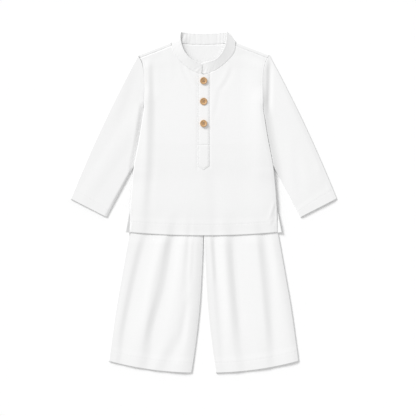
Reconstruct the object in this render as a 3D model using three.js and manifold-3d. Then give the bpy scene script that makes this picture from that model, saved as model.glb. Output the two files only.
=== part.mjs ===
// A toddler's white cotton set, laid out flat: a long-sleeved top with a band collar and a buttoned placket,
// and wide cropped trousers whose gathered waist lies under the top.
// Millimetres. +Z is up from the surface it lies on, +Y runs from the trouser hems to the collar, and left and
// right are as seen from above. The origin is on the surface, in the middle of the footprint.
// While the pieces are worked out, "up" is the distance from the lowest trouser hem and "out" from the middle
// line.
import * as THREE from "three";
import { mergeVertices } from "three/addons/utils/BufferGeometryUtils.js";
import Module from "manifold-3d";

const wasm = await Module();
wasm.setup();
const { lerp, smoothstep } = THREE.MathUtils;

// Cloth
const CLOTH = 1.0; // wall of one layer
const SEAM_GAP = 0.3; // between pieces that are sewn or lie together
const LAYER_EASE = 0.25; // least space that the front keeps over the back, besides the seam gap
const HEM_EXTRA = 0.4; // a turned hem is thicker by this
const HEM_STEP = 1.5; // over which a hem's extra thickness ends

// Top
const TOP_HEM_UP = 290; // hem at the middle line
const TOP_HEM_RISE = 7; // the hem's corners are higher
const TOP_HEM_DEPTH = 21;
const SLIT_TOP_UP = 355.5;
const BODY_EDGE_ROLL = { left: 12, right: 24 }; // over which the front comes down to the back
const SHOULDER_ROLL = 40; // the same, down from the shoulder seam
const NECK_POINT = { out: 68.7, up: 695.5 }; // where the shoulder fold meets the collar
const SHOULDER_POINT = { out: 137.4, up: 669 };
const SHOULDER_SEAM = 7; // the back piece folds over the shoulder and is sewn this far down the front
const BACK_NECK_UP = 691.5;
const NECK_EASE = { height: 0.75, up: [560, 625], out: [66, 100] }; // the collar lifts the front a little
const COLLAR_CLOTH = 1.4; // two layers and a stiffener
const COLLAR_GAP = 0.75;
const PLACKET_HALF = 11.5;
const PLACKET_SLOT_HALF = 10; // the front is cut away behind the placket
const PLACKET_POINT_UP = 428;
const PLACKET_POINT_DROP = 8.5;
const PLACKET_BOX_UP = 477; // the slot ends at the stitched box
const PLACKET_GAPS = { under: SEAM_GAP + 0.1, neck: 1.1, slot: 1.6 };
const BUTTON_UPS = { button_top: 615, button_middle: 571.5, button_bottom: 525 };
const BUTTON_GAP = 0.5; // room for the thread under a button

// Sleeves
const CUFF_OUTER = new THREE.Vector2(279.6, 367.5);
const CUFF_INNER = new THREE.Vector2(203.2, 328.5);
const UNDERARM = { out: 128, up: 470 }; // hidden under the body's edge
const SLEEVE_MEETS_BODY_UP = 563; // above this the two are edge to edge, below it the sleeve lies under
const ARMHOLE_GAP = { underarm: 0.7, shoulder: 1.6, widens: [590, 640] };
const SLEEVE_BULGE = 5;
const SLEEVE_EDGE_RADIUS = 1.2; // two layers of cloth and the space between them, folded
const CUFF_HEM_DEPTH = 18;
const SLEEVE_PUFF = 1.9; // how far the upper layer lifts off the lower one
const SLEEVE_RIDGE = { height: 0.9, across: [0.62, 0.3], halfWidth: 0.24 }; // from shoulder to cuff
const SLEEVE_ROLL = [3, 25]; // the lift ends over this at the edges and at the body
const CUFF_PRESS = 0.45; // share of the lift that is left at the cuff

// Trousers
const CROTCH_UP = 283;
const WAIST_UP = 458; // where the legs meet the waistband
const WAISTBAND_HEIGHT = 25;
const WAISTBAND_HALF = 110;
const WAISTBAND_RADIUS = 2.25;
const WAISTBAND_WALL = 1.8;
const LEG_HEM = { inner: 25.1, innerUp: 2.3, outer: 200, outerUp: 27, sag: 5.5 };
const LEG_HEM_DEPTH = 18.5;
const LEG_CREST = 3.2; // highest that the front of a leg lifts off its back
const LEG_EDGE_ROLL = 16; // over which it comes down to the back at its edges

// Half widths of the top's body, from hem to shoulder
const BODY_OUTLINE = [
  { up: 297, front: 154.8, back: 163.9 },
  { up: SLIT_TOP_UP, front: 153.4, back: 153.4 },
  { up: 395, front: 150.5, back: 150.5 },
  { up: 439, front: 145.8, back: 145.8 },
  { up: 486, front: 136.7, back: 136.7 },
  { up: 531, front: 129.2, back: 129.2 },
  { up: 563, front: 124.8, back: 124.8 },
  { up: 594, front: 123.9, back: 123.9 },
  { up: 626, front: 124.6, back: 124.6 },
  { up: 653, front: 129, back: 129 },
  { up: SHOULDER_POINT.up, front: SHOULDER_POINT.out, back: SHOULDER_POINT.out },
];

// Half of the neckline of the front, from the placket to the shoulder
const FRONT_NECKLINE = [
  { out: 0, up: 629 },
  { out: 15.8, up: 633 },
  { out: 33.6, up: 643.2 },
  { out: 52.9, up: 660 },
  { out: 65.4, up: 678.5 },
  { out: NECK_POINT.out, up: NECK_POINT.up },
];

// Half of the collar's upper edge over the front, from the opening to the corner where the band folds back
const COLLAR_EDGE = [
  { out: 0, up: 652.5, rise: 9.4 },
  { out: 13, up: 655, rise: 9.8 },
  { out: 26.5, up: 661.5, rise: 9.8 },
  { out: 38, up: 674, rise: 9.4 },
  { out: 44.6, up: 688, rise: 8.8 },
  { out: 48, up: 703, rise: 8.2 },
  { out: 48.2, up: 715.5, rise: 7.6 },
];
const COLLAR_BACK_EDGE_UP = 713.5;
const COLLAR_BACK_EDGE_RISE = 3.8;
const COLLAR_SEAM_RISE = 2.55; // middle of the band where it meets the front
const COLLAR_BACK_SEAM_RISE = 0.75;
const COLLAR_CORNER_SWEEP = 7; // over which the collar's front corners are rounded
const COLLAR_CORNER_DROP = 5;

// Edges of a leg, from hem to waist
const LEG_OUTLINE = [
  { up: 0, inner: 25.6, outer: 203 },
  { up: 57, inner: 16.9, outer: 195.5 },
  { up: 139, inner: 7.7, outer: 184 },
  { up: 211, inner: 3.4, outer: 171.5 },
  { up: CROTCH_UP, inner: 0.6, outer: 158.6 },
  { up: 330, inner: 0.2, outer: 149 },
  { up: 400, inner: 0.2, outer: 131 },
  { up: WAIST_UP, inner: 0.2, outer: 108 },
];

// Folds, each a line of ridge or valley that runs down the cloth. outs are its distances from the middle line
// and heights how far it lifts the front off the back, both at the levels of its table. Between two lines the
// cloth curves evenly, and it comes down to the back at the panel's edges.
const LEG_FOLD_LEVELS = [0, 92, 186, 281, WAIST_UP];
const LEG_FOLDS = {
  left: [
    { fold: "inner valley", outs: [58, 37, 16, 16, 12], heights: [0.7, 0.8, 1.2, 1.2, 1] },
    { fold: "inner ridge", outs: [86, 60, 43, 28, 22], heights: [1.5, 2.2, 2.5, 2.7, 2.3] },
    { fold: "middle valley", outs: [119, 96, 73, 54, 40], heights: [0.5, 0.6, 0.5, 0.5, 0.8] },
    { fold: "middle ridge", outs: [150, 131, 106, 87, 62], heights: [1.5, 2.4, 2.8, 3.2, 2.8] },
    { fold: "outer valley", outs: [172, 159, 138, 115, 78], heights: [0.7, 0.9, 1, 0.9, 0.9] },
    { fold: "outer ridge", outs: [187, 178, 163, 146, 96], heights: [1.2, 1.7, 1.9, 2.1, 2.1] },
  ],
  right: [
    { fold: "inner ridge", outs: [40, 28, 16, 11, 8], heights: [0.9, 1.2, 1.6, 2, 1.8] },
    { fold: "inner valley", outs: [45, 34, 26, 24, 20], heights: [0.9, 1.1, 1.3, 1, 1] },
    { fold: "middle ridge", outs: [61, 52, 49, 43, 34], heights: [1.3, 2.1, 2.6, 3.1, 2.8] },
    { fold: "middle valley", outs: [86, 83, 79, 74, 52], heights: [0.5, 0.6, 0.6, 0.5, 0.9] },
    { fold: "outer ridge", outs: [119, 121, 114, 106, 74], heights: [1.4, 2.3, 2.7, 3, 2.7] },
    { fold: "outer valley", outs: [147, 151, 142, 130, 88], heights: [0.8, 1, 1.1, 0.9, 1] },
    { fold: "edge ridge", outs: [172, 174, 163, 150, 98], heights: [1.2, 1.9, 2.1, 2.2, 2] },
  ],
};
const BODY_FOLD_LEVELS = [TOP_HEM_UP, 333, 375, 470, 585, 669];
const BODY_FOLDS = [
  { fold: "left roll", outs: [-145, -144, -142, -129, -119, -124], heights: [1.7, 2.6, 3, 3.1, 2.8, 1.4] },
  { fold: "left flat", outs: [-106, -104, -98, -92, -90, -92], heights: [0.7, 1, 1.1, 1, 1.1, 1] },
  { fold: "middle", outs: [-18, -18, -18, -18, -18, -18], heights: [1.2, 1.9, 1.9, 1.2, 1.1, 1] },
  { fold: "right of middle", outs: [44, 44, 44, 44, 44, 44], heights: [0.6, 0.9, 0.9, 1, 1.1, 1] },
  { fold: "right flat", outs: [80, 78, 76, 72, 70, 72], heights: [0.7, 1, 1, 1.1, 1.2, 1] },
  { fold: "right roll", outs: [128, 126, 122, 118, 112, 116], heights: [1.6, 2.3, 2.6, 2.8, 2.6, 1.2] },
];

// Colours
const WHITE_COTTON = { color: 0xf4f4f2, roughness: 0.92, metalness: 0 };
const BUTTON_WOOD = { color: 0xc08a4a, roughness: 0.5, metalness: 0 };

// A smooth curve through one column of a table whose rows are sorted by another.
function readTable(table, key, column, at) {
  const last = table.length - 1;
  if (at <= table[0][key]) return table[0][column];
  if (at >= table[last][key]) return table[last][column];
  const k = table.findIndex((row) => row[key] > at) - 1;
  const slope = (i) => {
    const a = table[Math.max(i - 1, 0)];
    const b = table[Math.min(i + 1, last)];
    return (b[column] - a[column]) / (b[key] - a[key]);
  };
  const span = table[k + 1][key] - table[k][key];
  const t = (at - table[k][key]) / span;
  return (
    (1 + 2 * t) * (1 - t) ** 2 * table[k][column] +
    t * (1 - t) ** 2 * span * slope(k) +
    t * t * (3 - 2 * t) * table[k + 1][column] +
    t * t * (t - 1) * span * slope(k + 1)
  );
}

// The value between low and high at which a rising function reaches a target.
function solveFor(rising, target, low, high) {
  for (let step = 0; step < 40; step++) {
    const middle = (low + high) / 2;
    if (rising(middle) < target) low = middle;
    else high = middle;
  }
  return (low + high) / 2;
}

// A bump of height 1 at 0 that ends softly at -1 and 1.
const bump = (u) => (Math.abs(u) < 1 ? (1 - u * u) ** 2 : 0);

// The lift at a place between fold lines, which are listed in order of their distances.
function foldLift(folds, levels, out, up) {
  const at = (values) => {
    const rows = levels.map((level, i) => ({ level, value: values[i] }));
    return readTable(rows, "level", "value", up);
  };
  const lines = folds.map((line) => ({ out: at(line.outs), height: at(line.heights) }));
  const next = lines.findIndex((line) => line.out > out);
  if (next === 0) return lines[0].height;
  if (next < 0) return lines[lines.length - 1].height;
  const [a, b] = [lines[next - 1], lines[next]];
  return lerp(a.height, b.height, smoothstep(out, a.out, b.out));
}

const evenSteps = (count, from = 0, to = 1) =>
  Array.from({ length: count + 1 }, (_, i) => lerp(from, to, i / count));

// Rows of a panel with a turned hem: the hem's at their heights above its edge, the rest as shares of the way
// from the hem's end to the panel's top.
const hemRows = (depth) => [0, depth, depth + HEM_STEP].map((height) => ({ height, share: 0 }));
const sharesAsRows = (shares) => shares.map((share) => ({ share }));
const rowUp = (row, hemUp, hemDepth, topUp) =>
  row.share > 0 ? lerp(hemUp + hemDepth + HEM_STEP, topUp, row.share) : hemUp + row.height;

// Closes a list of faces, each of three or four corners, into a geometry that faces outwards.
function closedGeometry(points, faces) {
  const triangles = faces.flatMap((f) =>
    f.length === 4 ? [[f[0], f[1], f[2]], [f[0], f[2], f[3]]] : [f],
  );
  const volume = triangles.reduce((sum, [a, b, c]) => {
    const normal = new THREE.Vector3().crossVectors(points[b], points[c]);
    return sum + points[a].dot(normal);
  }, 0);
  const index = triangles.flatMap((t) => (volume < 0 ? [t[0], t[2], t[1]] : t));
  const geometry = new THREE.BufferGeometry().setFromPoints(points);
  geometry.setIndex(index);
  geometry.computeVertexNormals();
  return geometry;
}

// A panel: a grid of stations, each with a point on the cloth's outside and one on its inside. Cells where
// isCloth says no are left open, and a rim closes every edge.
function panel(columns, rows, stationAt, isCloth = () => true) {
  const points = [];
  for (const row of rows)
    for (const column of columns) {
      const { outside, inside } = stationAt(column, row);
      points.push(outside, inside);
    }
  const width = columns.length;
  const point = (i, j, side) => 2 * (j * width + i) + side;
  const present = (i, j) =>
    i >= 0 && j >= 0 && i < width - 1 && j < rows.length - 1 && isCloth(columns, rows, i, j);
  const faces = [];
  for (let j = 0; j < rows.length - 1; j++)
    for (let i = 0; i < width - 1; i++) {
      if (!present(i, j)) continue;
      const around = [[i, j], [i + 1, j], [i + 1, j + 1], [i, j + 1]];
      faces.push(around.map(([a, b]) => point(a, b, 0)));
      faces.push(around.map(([a, b]) => point(a, b, 1)).reverse());
      const beyond = [[i, j - 1], [i + 1, j], [i, j + 1], [i - 1, j]];
      beyond.forEach(([a, b], side) => {
        if (present(a, b)) return;
        const [start, end] = [around[side], around[(side + 1) % 4]];
        faces.push([
          point(...end, 0),
          point(...start, 0),
          point(...start, 1),
          point(...end, 1),
        ]);
      });
    }
  return closedGeometry(points, faces);
}

// A tube of cloth pressed flat, open at both ends. plan(across, along) is a point of its outline seen from
// above, and lift is how far its upper layer rises above the flattened tube.
function flatTube({ acrossCount, alongSteps, plan, lift, radius, wall }) {
  const endCount = 4;
  const ring = (along, inset) => {
    const curve = evenSteps(acrossCount).map((s) => plan(s, along));
    const length = curve.slice(1).reduce((sum, p, i) => sum + p.distanceTo(curve[i]), 0);
    const edge = radius / length;
    const fold = radius - inset;
    const points = [];
    const layer = (shares, height) => {
      for (const s of shares) {
        const p = plan(s, along);
        points.push(new THREE.Vector3(p.x, p.y, height(s)));
      }
    };
    const turn = (at, towards, from) => {
      const centre = plan(at, along);
      const direction = plan(at + towards * edge, along).sub(centre).normalize();
      for (let m = 1; m < endCount; m++) {
        const angle = from - (from / (Math.PI / 2)) * Math.PI * (m / endCount);
        points.push(
          new THREE.Vector3(
            centre.x + direction.x * fold * Math.cos(angle),
            centre.y + direction.y * fold * Math.cos(angle),
            radius + fold * Math.sin(angle),
          ),
        );
      }
    };
    const shares = evenSteps(acrossCount, edge, 1 - edge);
    layer(shares, (s) => 2 * radius - inset + lift(s, along));
    turn(1 - edge, 1, Math.PI / 2);
    layer([...shares].reverse(), () => inset);
    turn(edge, -1, -Math.PI / 2);
    return points;
  };
  const outer = alongSteps.map((t) => ring(t, 0));
  const inner = alongSteps.map((t) => ring(t, wall));
  const count = outer[0].length;
  const points = [...outer.flat(), ...inner.flat()];
  const at = (layer, j, i) => (layer * alongSteps.length + j) * count + (i % count);
  const last = alongSteps.length - 1;
  const faces = [];
  for (let i = 0; i < count; i++) {
    for (let j = 0; j < last; j++) {
      faces.push([at(0, j, i), at(0, j, i + 1), at(0, j + 1, i + 1), at(0, j + 1, i)]);
      faces.push([at(1, j, i), at(1, j + 1, i), at(1, j + 1, i + 1), at(1, j, i + 1)]);
    }
    faces.push([at(0, 0, i), at(1, 0, i), at(1, 0, i + 1), at(0, 0, i + 1)]);
    faces.push([at(0, last, i), at(0, last, i + 1), at(1, last, i + 1), at(1, last, i)]);
  }
  return closedGeometry(points, faces);
}

// The trousers

const legHemUp = (share) =>
  lerp(LEG_HEM.innerUp, LEG_HEM.outerUp, share) - LEG_HEM.sag * 4 * share * (1 - share);

const legEdge = (edge, up) => readTable(LEG_OUTLINE, "up", edge, up);

const hemThickness = (overHem, depth) =>
  HEM_EXTRA * (1 - smoothstep(overHem, depth, depth + HEM_STEP));

// How far the front of a leg lifts off its back.
function legLift(leg, out, up) {
  const inner = smoothstep(out - legEdge("inner", up), 0, LEG_EDGE_ROLL);
  const outer = smoothstep(legEdge("outer", up) - out, 0, LEG_EDGE_ROLL);
  return inner * outer * foldLift(LEG_FOLDS[leg], LEG_FOLD_LEVELS, out, up);
}

function legPanel(leg, isFront, columnCount, rowCount) {
  const side = leg === "left" ? -1 : 1;
  const rows = [...hemRows(LEG_HEM_DEPTH), ...sharesAsRows(evenSteps(rowCount).slice(1))];
  const station = (share, row) => {
    const hem = legHemUp(share);
    const up = rowUp(row, hem, LEG_HEM_DEPTH, WAIST_UP - SEAM_GAP);
    const out = lerp(legEdge("inner", up), legEdge("outer", up), share);
    const thickness = CLOTH + hemThickness(up - hem, LEG_HEM_DEPTH);
    const at = (height) => new THREE.Vector3(side * out, up, height);
    if (!isFront) return { outside: at(0), inside: at(thickness) };
    const underside = thickness + SEAM_GAP + legLift(leg, out, up);
    return { outside: at(underside + thickness), inside: at(underside) };
  };
  return panel(evenSteps(columnCount), rows, station);
}

function waistband() {
  return flatTube({
    acrossCount: 12,
    alongSteps: [0, 1],
    plan: (s, t) =>
      new THREE.Vector2(
        lerp(-WAISTBAND_HALF, WAISTBAND_HALF, s),
        WAIST_UP + t * WAISTBAND_HEIGHT,
      ),
    lift: () => 0,
    radius: WAISTBAND_RADIUS,
    wall: WAISTBAND_WALL,
  });
}

// The top's body

const bodyEdge = (side, up) => readTable(BODY_OUTLINE, "up", side, up);

// Height of a line that runs along the shoulder, a given distance down from the fold.
const shoulderSlope =
  (SHOULDER_POINT.up - NECK_POINT.up) / (SHOULDER_POINT.out - NECK_POINT.out);
const shoulderLine = (out, distance) =>
  NECK_POINT.up +
  shoulderSlope * (out - NECK_POINT.out) -
  distance * Math.hypot(1, shoulderSlope);

const necklineUp = (out) => readTable(FRONT_NECKLINE, "out", "up", out);

// Where a line along the shoulder meets the neckline and the armhole.
const shoulderStart = (distance) =>
  solveFor((out) => necklineUp(out) - shoulderLine(out, distance), 0, 40, NECK_POINT.out);
const shoulderEnd = (distance) =>
  solveFor(
    (out) => out - bodyEdge("front", shoulderLine(out, distance)),
    0,
    110,
    SHOULDER_POINT.out,
  );

// How high the top's underside lies: over the trousers, over the tucked part of the sleeves, or on the surface.
// Each slope between them has the place where it starts and the place where it ends.
const TROUSERS_LIFT = 2 * CLOTH + 2 * SEAM_GAP + LEG_CREST + 0.15;
const SLEEVE_TUCK_LIFT = 2 * SLEEVE_EDGE_RADIUS + 0.5;
const WAIST_TOP = WAIST_UP + WAISTBAND_HEIGHT;
const ABOVE_WAIST_SLOPE = [WAIST_TOP + 3, WAIST_TOP + 93];
const TROUSERS_EDGE_SLOPE = [-22, 32]; // out of the trousers' edge
const WAISTBAND_REACH = 14; // the slope keeps this clear of the waistband's ends
const SLEEVE_TUCK_SLOPE = { low: [385, 430], high: [570, 615], out: [84, 122] };
function bodyUnderside(out, up) {
  const waist = WAISTBAND_HALF + WAISTBAND_REACH * smoothstep(up, WAIST_UP - 60, WAIST_UP);
  const trousersEdge = Math.max(legEdge("outer", up), waist);
  const outOfTrousers = Math.abs(out) - trousersEdge;
  const overTrousers =
    TROUSERS_LIFT *
    (1 - smoothstep(up, ...ABOVE_WAIST_SLOPE)) *
    (1 - smoothstep(outOfTrousers, ...TROUSERS_EDGE_SLOPE));
  const overSleeve =
    SLEEVE_TUCK_LIFT *
    (1 - smoothstep(up, ...SLEEVE_TUCK_SLOPE.high)) *
    smoothstep(up, ...SLEEVE_TUCK_SLOPE.low) *
    smoothstep(Math.abs(out), ...SLEEVE_TUCK_SLOPE.out);
  return Math.hypot(overTrousers, overSleeve);
}

const topHemUp = (share) => TOP_HEM_UP + TOP_HEM_RISE * share * share;
const topHemThickness = (out, up) =>
  hemThickness(up - topHemUp(out / BODY_OUTLINE[0].front), TOP_HEM_DEPTH);

// How far the front lifts off the back. It is lower near the collar, the shoulder seam and the side edges.
function frontLift(out, up) {
  const fromEdge = bodyEdge("front", up) - Math.abs(out);
  const edge = smoothstep(fromEdge, 0, out < 0 ? BODY_EDGE_ROLL.left : BODY_EDGE_ROLL.right);
  const underSeam = shoulderLine(Math.abs(out), SHOULDER_SEAM) - up;
  const shoulder = smoothstep(underSeam, 0, SHOULDER_ROLL);
  const neck =
    smoothstep(up, ...NECK_EASE.up) * (1 - smoothstep(Math.abs(out), ...NECK_EASE.out));
  const folds = foldLift(BODY_FOLDS, BODY_FOLD_LEVELS, out, up);
  return Math.max(edge * shoulder * folds, neck * NECK_EASE.height, LAYER_EASE);
}

const backInside = (out, up) => bodyUnderside(out, up) + CLOTH + topHemThickness(out, up);
const frontInside = (out, up) => backInside(out, up) + SEAM_GAP + frontLift(out, up);
const frontOutside = (out, up) => frontInside(out, up) + CLOTH + topHemThickness(out, up);

// Columns of a body panel: from one side edge to the other, with the placket's slot in the middle.
const NECK_SHARE = 0.48; // share of a half's columns at which the neckline ends
const HALF_SHARES = [...evenSteps(8, 0, NECK_SHARE), 0.58, 0.68, 0.78, 0.87, 0.94, 1];
const BODY_COLUMNS = [
  ...[...HALF_SHARES].reverse().map((share) => ({ side: -1, share })),
  { side: 0, share: 0 },
  ...HALF_SHARES.map((share) => ({ side: 1, share })),
];

// Out of a column at a height: the slot's edge, then shares of what is left up to the side edge. The shares
// move over from the hem's to those of the column's upper end.
function bodyOut(face, column, up, rowShare, top) {
  if (!column.side) return 0;
  const width = (at) => bodyEdge(face, at) - PLACKET_SLOT_HALF;
  const topShare = (top.out - PLACKET_SLOT_HALF) / width(top.up);
  return column.side * (PLACKET_SLOT_HALF + width(up) * lerp(column.share, topShare, rowShare));
}

function frontPanel() {
  const seam = SHOULDER_SEAM + SEAM_GAP;
  const [start, end] = [shoulderStart(seam), shoulderEnd(seam)];
  const topOf = (column) => {
    const share = column.share;
    if (share >= NECK_SHARE) {
      const out = lerp(start, end, (share - NECK_SHARE) / (1 - NECK_SHARE));
      return { out, up: shoulderLine(out, seam) };
    }
    const turn = (share / NECK_SHARE) * (Math.PI / 2);
    const out = column.side ? lerp(PLACKET_SLOT_HALF, start, Math.sin(turn)) : 0;
    return { out, up: necklineUp(out) };
  };
  const hemEnd = TOP_HEM_UP + TOP_HEM_DEPTH + HEM_STEP;
  const slotShare = (PLACKET_BOX_UP - hemEnd) / (necklineUp(0) - hemEnd);
  const rows = [
    ...hemRows(TOP_HEM_DEPTH),
    ...sharesAsRows(evenSteps(9, 0, slotShare).slice(1)),
    ...sharesAsRows(evenSteps(9, slotShare, 1).slice(1)),
  ];
  const station = (column, row) => {
    const top = topOf(column);
    const up = rowUp(row, topHemUp(column.share), TOP_HEM_DEPTH, top.up);
    const out = bodyOut("front", column, up, row.share, top);
    return {
      outside: new THREE.Vector3(out, up, frontOutside(out, up)),
      inside: new THREE.Vector3(out, up, frontInside(out, up)),
    };
  };
  const slotColumn = HALF_SHARES.length - 1;
  const isCloth = (columns, allRows, i, j) =>
    !((i === slotColumn || i === slotColumn + 1) && allRows[j].share >= slotShare - 1e-9);
  return panel(BODY_COLUMNS, rows, station, isCloth);
}

// The back: flat up to the shoulder, then folded over it and down to the shoulder seam.
function backPanel() {
  const foldRadius = CLOTH + SEAM_GAP / 2;
  const topOf = (column) => {
    const share = column.share;
    const neck = { out: shoulderStart(foldRadius) };
    neck.up = shoulderLine(neck.out, foldRadius);
    if (share >= NECK_SHARE) {
      const along = (share - NECK_SHARE) / (1 - NECK_SHARE);
      const out = lerp(neck.out, shoulderEnd(foldRadius), along);
      return { out, up: shoulderLine(out, foldRadius) };
    }
    const out = column.side ? lerp(PLACKET_SLOT_HALF, neck.out, share / NECK_SHARE) : 0;
    return { out, up: lerp(BACK_NECK_UP, neck.up, (out / neck.out) ** 2) };
  };
  const flatRows = [...hemRows(TOP_HEM_DEPTH), ...sharesAsRows(evenSteps(18).slice(1))];
  const foldRows = evenSteps(5, 0, Math.PI)
    .slice(1)
    .map((angle) => ({ angle, distance: foldRadius * (1 - Math.sin(angle)) }));
  const seamRows = evenSteps(2, foldRadius, SHOULDER_SEAM)
    .slice(1)
    .map((distance) => ({ angle: Math.PI, distance }));
  const rows = [...flatRows, ...foldRows, ...seamRows];
  const station = (column, place) => {
    const top = topOf(column);
    if (place.angle === undefined) {
      const up = rowUp(place, topHemUp(column.share), TOP_HEM_DEPTH, top.up);
      const out = bodyOut("back", column, up, place.share, top);
      return {
        outside: new THREE.Vector3(out, up, bodyUnderside(out, up)),
        inside: new THREE.Vector3(out, up, backInside(out, up)),
      };
    }
    const along = Math.max(column.share - NECK_SHARE, 0) / (1 - NECK_SHARE);
    const layer = (radius) => {
      const distance =
        place.distance + (foldRadius - radius) * Math.sin(place.angle);
      const reach = Math.max(distance, 0);
      const out = lerp(shoulderStart(reach), shoulderEnd(reach), along);
      return new THREE.Vector3(
        column.side * out,
        shoulderLine(out, distance),
        foldRadius - radius * Math.cos(place.angle),
      );
    };
    return { outside: layer(foldRadius), inside: layer(foldRadius - CLOTH) };
  };
  const isCloth = (columns, allRows, i, j) =>
    j < flatRows.length - 1 ||
    Math.min(columns[i].share, columns[i + 1].share) >= NECK_SHARE - 1e-9;
  return panel(BODY_COLUMNS, rows, station, isCloth);
}

// A strip that lies along the middle of the front, between two heights.
function placketStrip(half, lowUp, highUp, layerAt) {
  const rows = evenSteps(14);
  const columns = evenSteps(4, -half, half);
  return panel(columns, rows, (out, row) => {
    const up = lerp(lowUp(out), highUp(out), row);
    const { outside, inside } = layerAt(out, up);
    return {
      outside: new THREE.Vector3(out, up, outside),
      inside: new THREE.Vector3(out, up, inside),
    };
  });
}

const collarSeamUp = (out) => necklineUp(Math.abs(out)) + COLLAR_GAP;
const overPlacket = () =>
  placketStrip(
    PLACKET_HALF,
    (out) => PLACKET_POINT_UP + (PLACKET_POINT_DROP * Math.abs(out)) / PLACKET_HALF,
    (out) => collarSeamUp(out) - PLACKET_GAPS.neck,
    (out, up) => {
      const inside = frontOutside(out, up) + PLACKET_GAPS.under;
      return { outside: inside + CLOTH, inside };
    },
  );
const underPlacket = () =>
  placketStrip(
    PLACKET_SLOT_HALF - SEAM_GAP,
    () => PLACKET_BOX_UP + PLACKET_GAPS.slot,
    (out) => collarSeamUp(out) - PLACKET_GAPS.neck,
    (out, up) => ({ outside: frontOutside(out, up), inside: frontInside(out, up) }),
  );

// The collar: a band that stands round the neck and is pressed over, its front half above its back half. It
// is worked out as two lines, its seam and its free edge, each from the front opening round to the middle back.

function collarLine(front, corner, back) {
  const line = [...front];
  for (const angle of evenSteps(6, Math.PI / 2, -Math.PI / 2))
    line.push(
      corner.centre
        .clone()
        .addScaledVector(corner.outward, corner.radius * Math.cos(angle))
        .add(new THREE.Vector3(0, 0, corner.radius * Math.sin(angle))),
    );
  return [...line, ...back];
}

function collar() {
  const frontCount = 12;
  const backCount = 5;
  const openingOut = 0.4; // half of the gap between the collar's two ends
  const seamRadius = (COLLAR_SEAM_RISE - COLLAR_BACK_SEAM_RISE) / 2;
  const inset = seamRadius + COLLAR_CLOTH / 2 + SEAM_GAP;
  const foldStart = { out: NECK_POINT.out - inset, up: NECK_POINT.up - COLLAR_GAP };
  const topRow = COLLAR_EDGE[COLLAR_EDGE.length - 1];
  const edgeRadius = (topRow.rise - COLLAR_BACK_EDGE_RISE) / 2;
  const outward = new THREE.Vector3(
    topRow.up - foldStart.up,
    foldStart.out - topRow.out,
    0,
  ).normalize();

  // The seam keeps its distance from the neckline by moving in square to it.
  const seamAt = (out) => {
    const slope = necklineUp(out + 0.5) - necklineUp(out - 0.5);
    const away = new THREE.Vector2(-slope, 1).normalize().multiplyScalar(COLLAR_GAP);
    return new THREE.Vector3(out + away.x, necklineUp(out) + away.y, COLLAR_SEAM_RISE);
  };
  const lastSeam = shoulderStart(SHOULDER_SEAM + 2);
  const seamOuts = evenSteps(frontCount - 1).map((s) =>
    lerp(openingOut, lastSeam, Math.sin((s * Math.PI) / 2)),
  );
  const seamFront = seamOuts.map(seamAt);
  const edgeCurve = new THREE.CatmullRomCurve3(
    COLLAR_EDGE.map((row) => new THREE.Vector3(row.out, row.up, row.rise)),
  );
  const edgeFront = evenSteps(frontCount).slice(0, -1).map((s) => {
    const point = edgeCurve.getPoint(s);
    const roundness = Math.max(1 - point.x / COLLAR_CORNER_SWEEP, 0);
    point.x = Math.max(point.x, openingOut);
    point.y -= COLLAR_CORNER_DROP * roundness ** 2;
    return point;
  });
  const backLine = (start, middleUp, rise) =>
    evenSteps(backCount)
      .slice(1)
      .map((s) => new THREE.Vector3(lerp(start.x, 0, s), lerp(middleUp, start.y, (1 - s) ** 2), rise));
  const seamCentre = new THREE.Vector3(
    foldStart.out,
    foldStart.up,
    (COLLAR_SEAM_RISE + COLLAR_BACK_SEAM_RISE) / 2,
  );
  const edgeCentre = new THREE.Vector3(
    topRow.out,
    topRow.up,
    (topRow.rise + COLLAR_BACK_EDGE_RISE) / 2,
  );
  const seam = collarLine(
    seamFront,
    { centre: seamCentre, radius: seamRadius, outward },
    backLine(seamCentre, BACK_NECK_UP + COLLAR_GAP, COLLAR_BACK_SEAM_RISE),
  );
  const edge = collarLine(
    edgeFront,
    { centre: edgeCentre, radius: edgeRadius, outward },
    backLine(edgeCentre, COLLAR_BACK_EDGE_UP, COLLAR_BACK_EDGE_RISE),
  );

  // From the left end of the opening round the back to the right end.
  const mirror = (p) => new THREE.Vector3(-p.x, p.y, p.z);
  const around = (half) => [...half.map(mirror), ...half.slice(0, -1).reverse()];
  const [seamRing, edgeRing] = [around(seam), around(edge)];
  const count = seamRing.length;
  const middle = (i, height) => seamRing[i].clone().lerp(edgeRing[i], height);
  const station = (i, height) => {
    const along = middle(Math.min(i + 1, count - 1), height).sub(middle(Math.max(i - 1, 0), height));
    const across = edgeRing[i].clone().sub(seamRing[i]);
    const normal = new THREE.Vector3().crossVectors(along, across).normalize();
    const here = middle(i, height);
    return {
      outside: here.clone().addScaledVector(normal, COLLAR_CLOTH / 2),
      inside: here.clone().addScaledVector(normal, -COLLAR_CLOTH / 2),
    };
  };
  return panel(
    Array.from({ length: count }, (_, i) => i),
    evenSteps(2),
    station,
  );
}

// Sleeves

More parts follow.
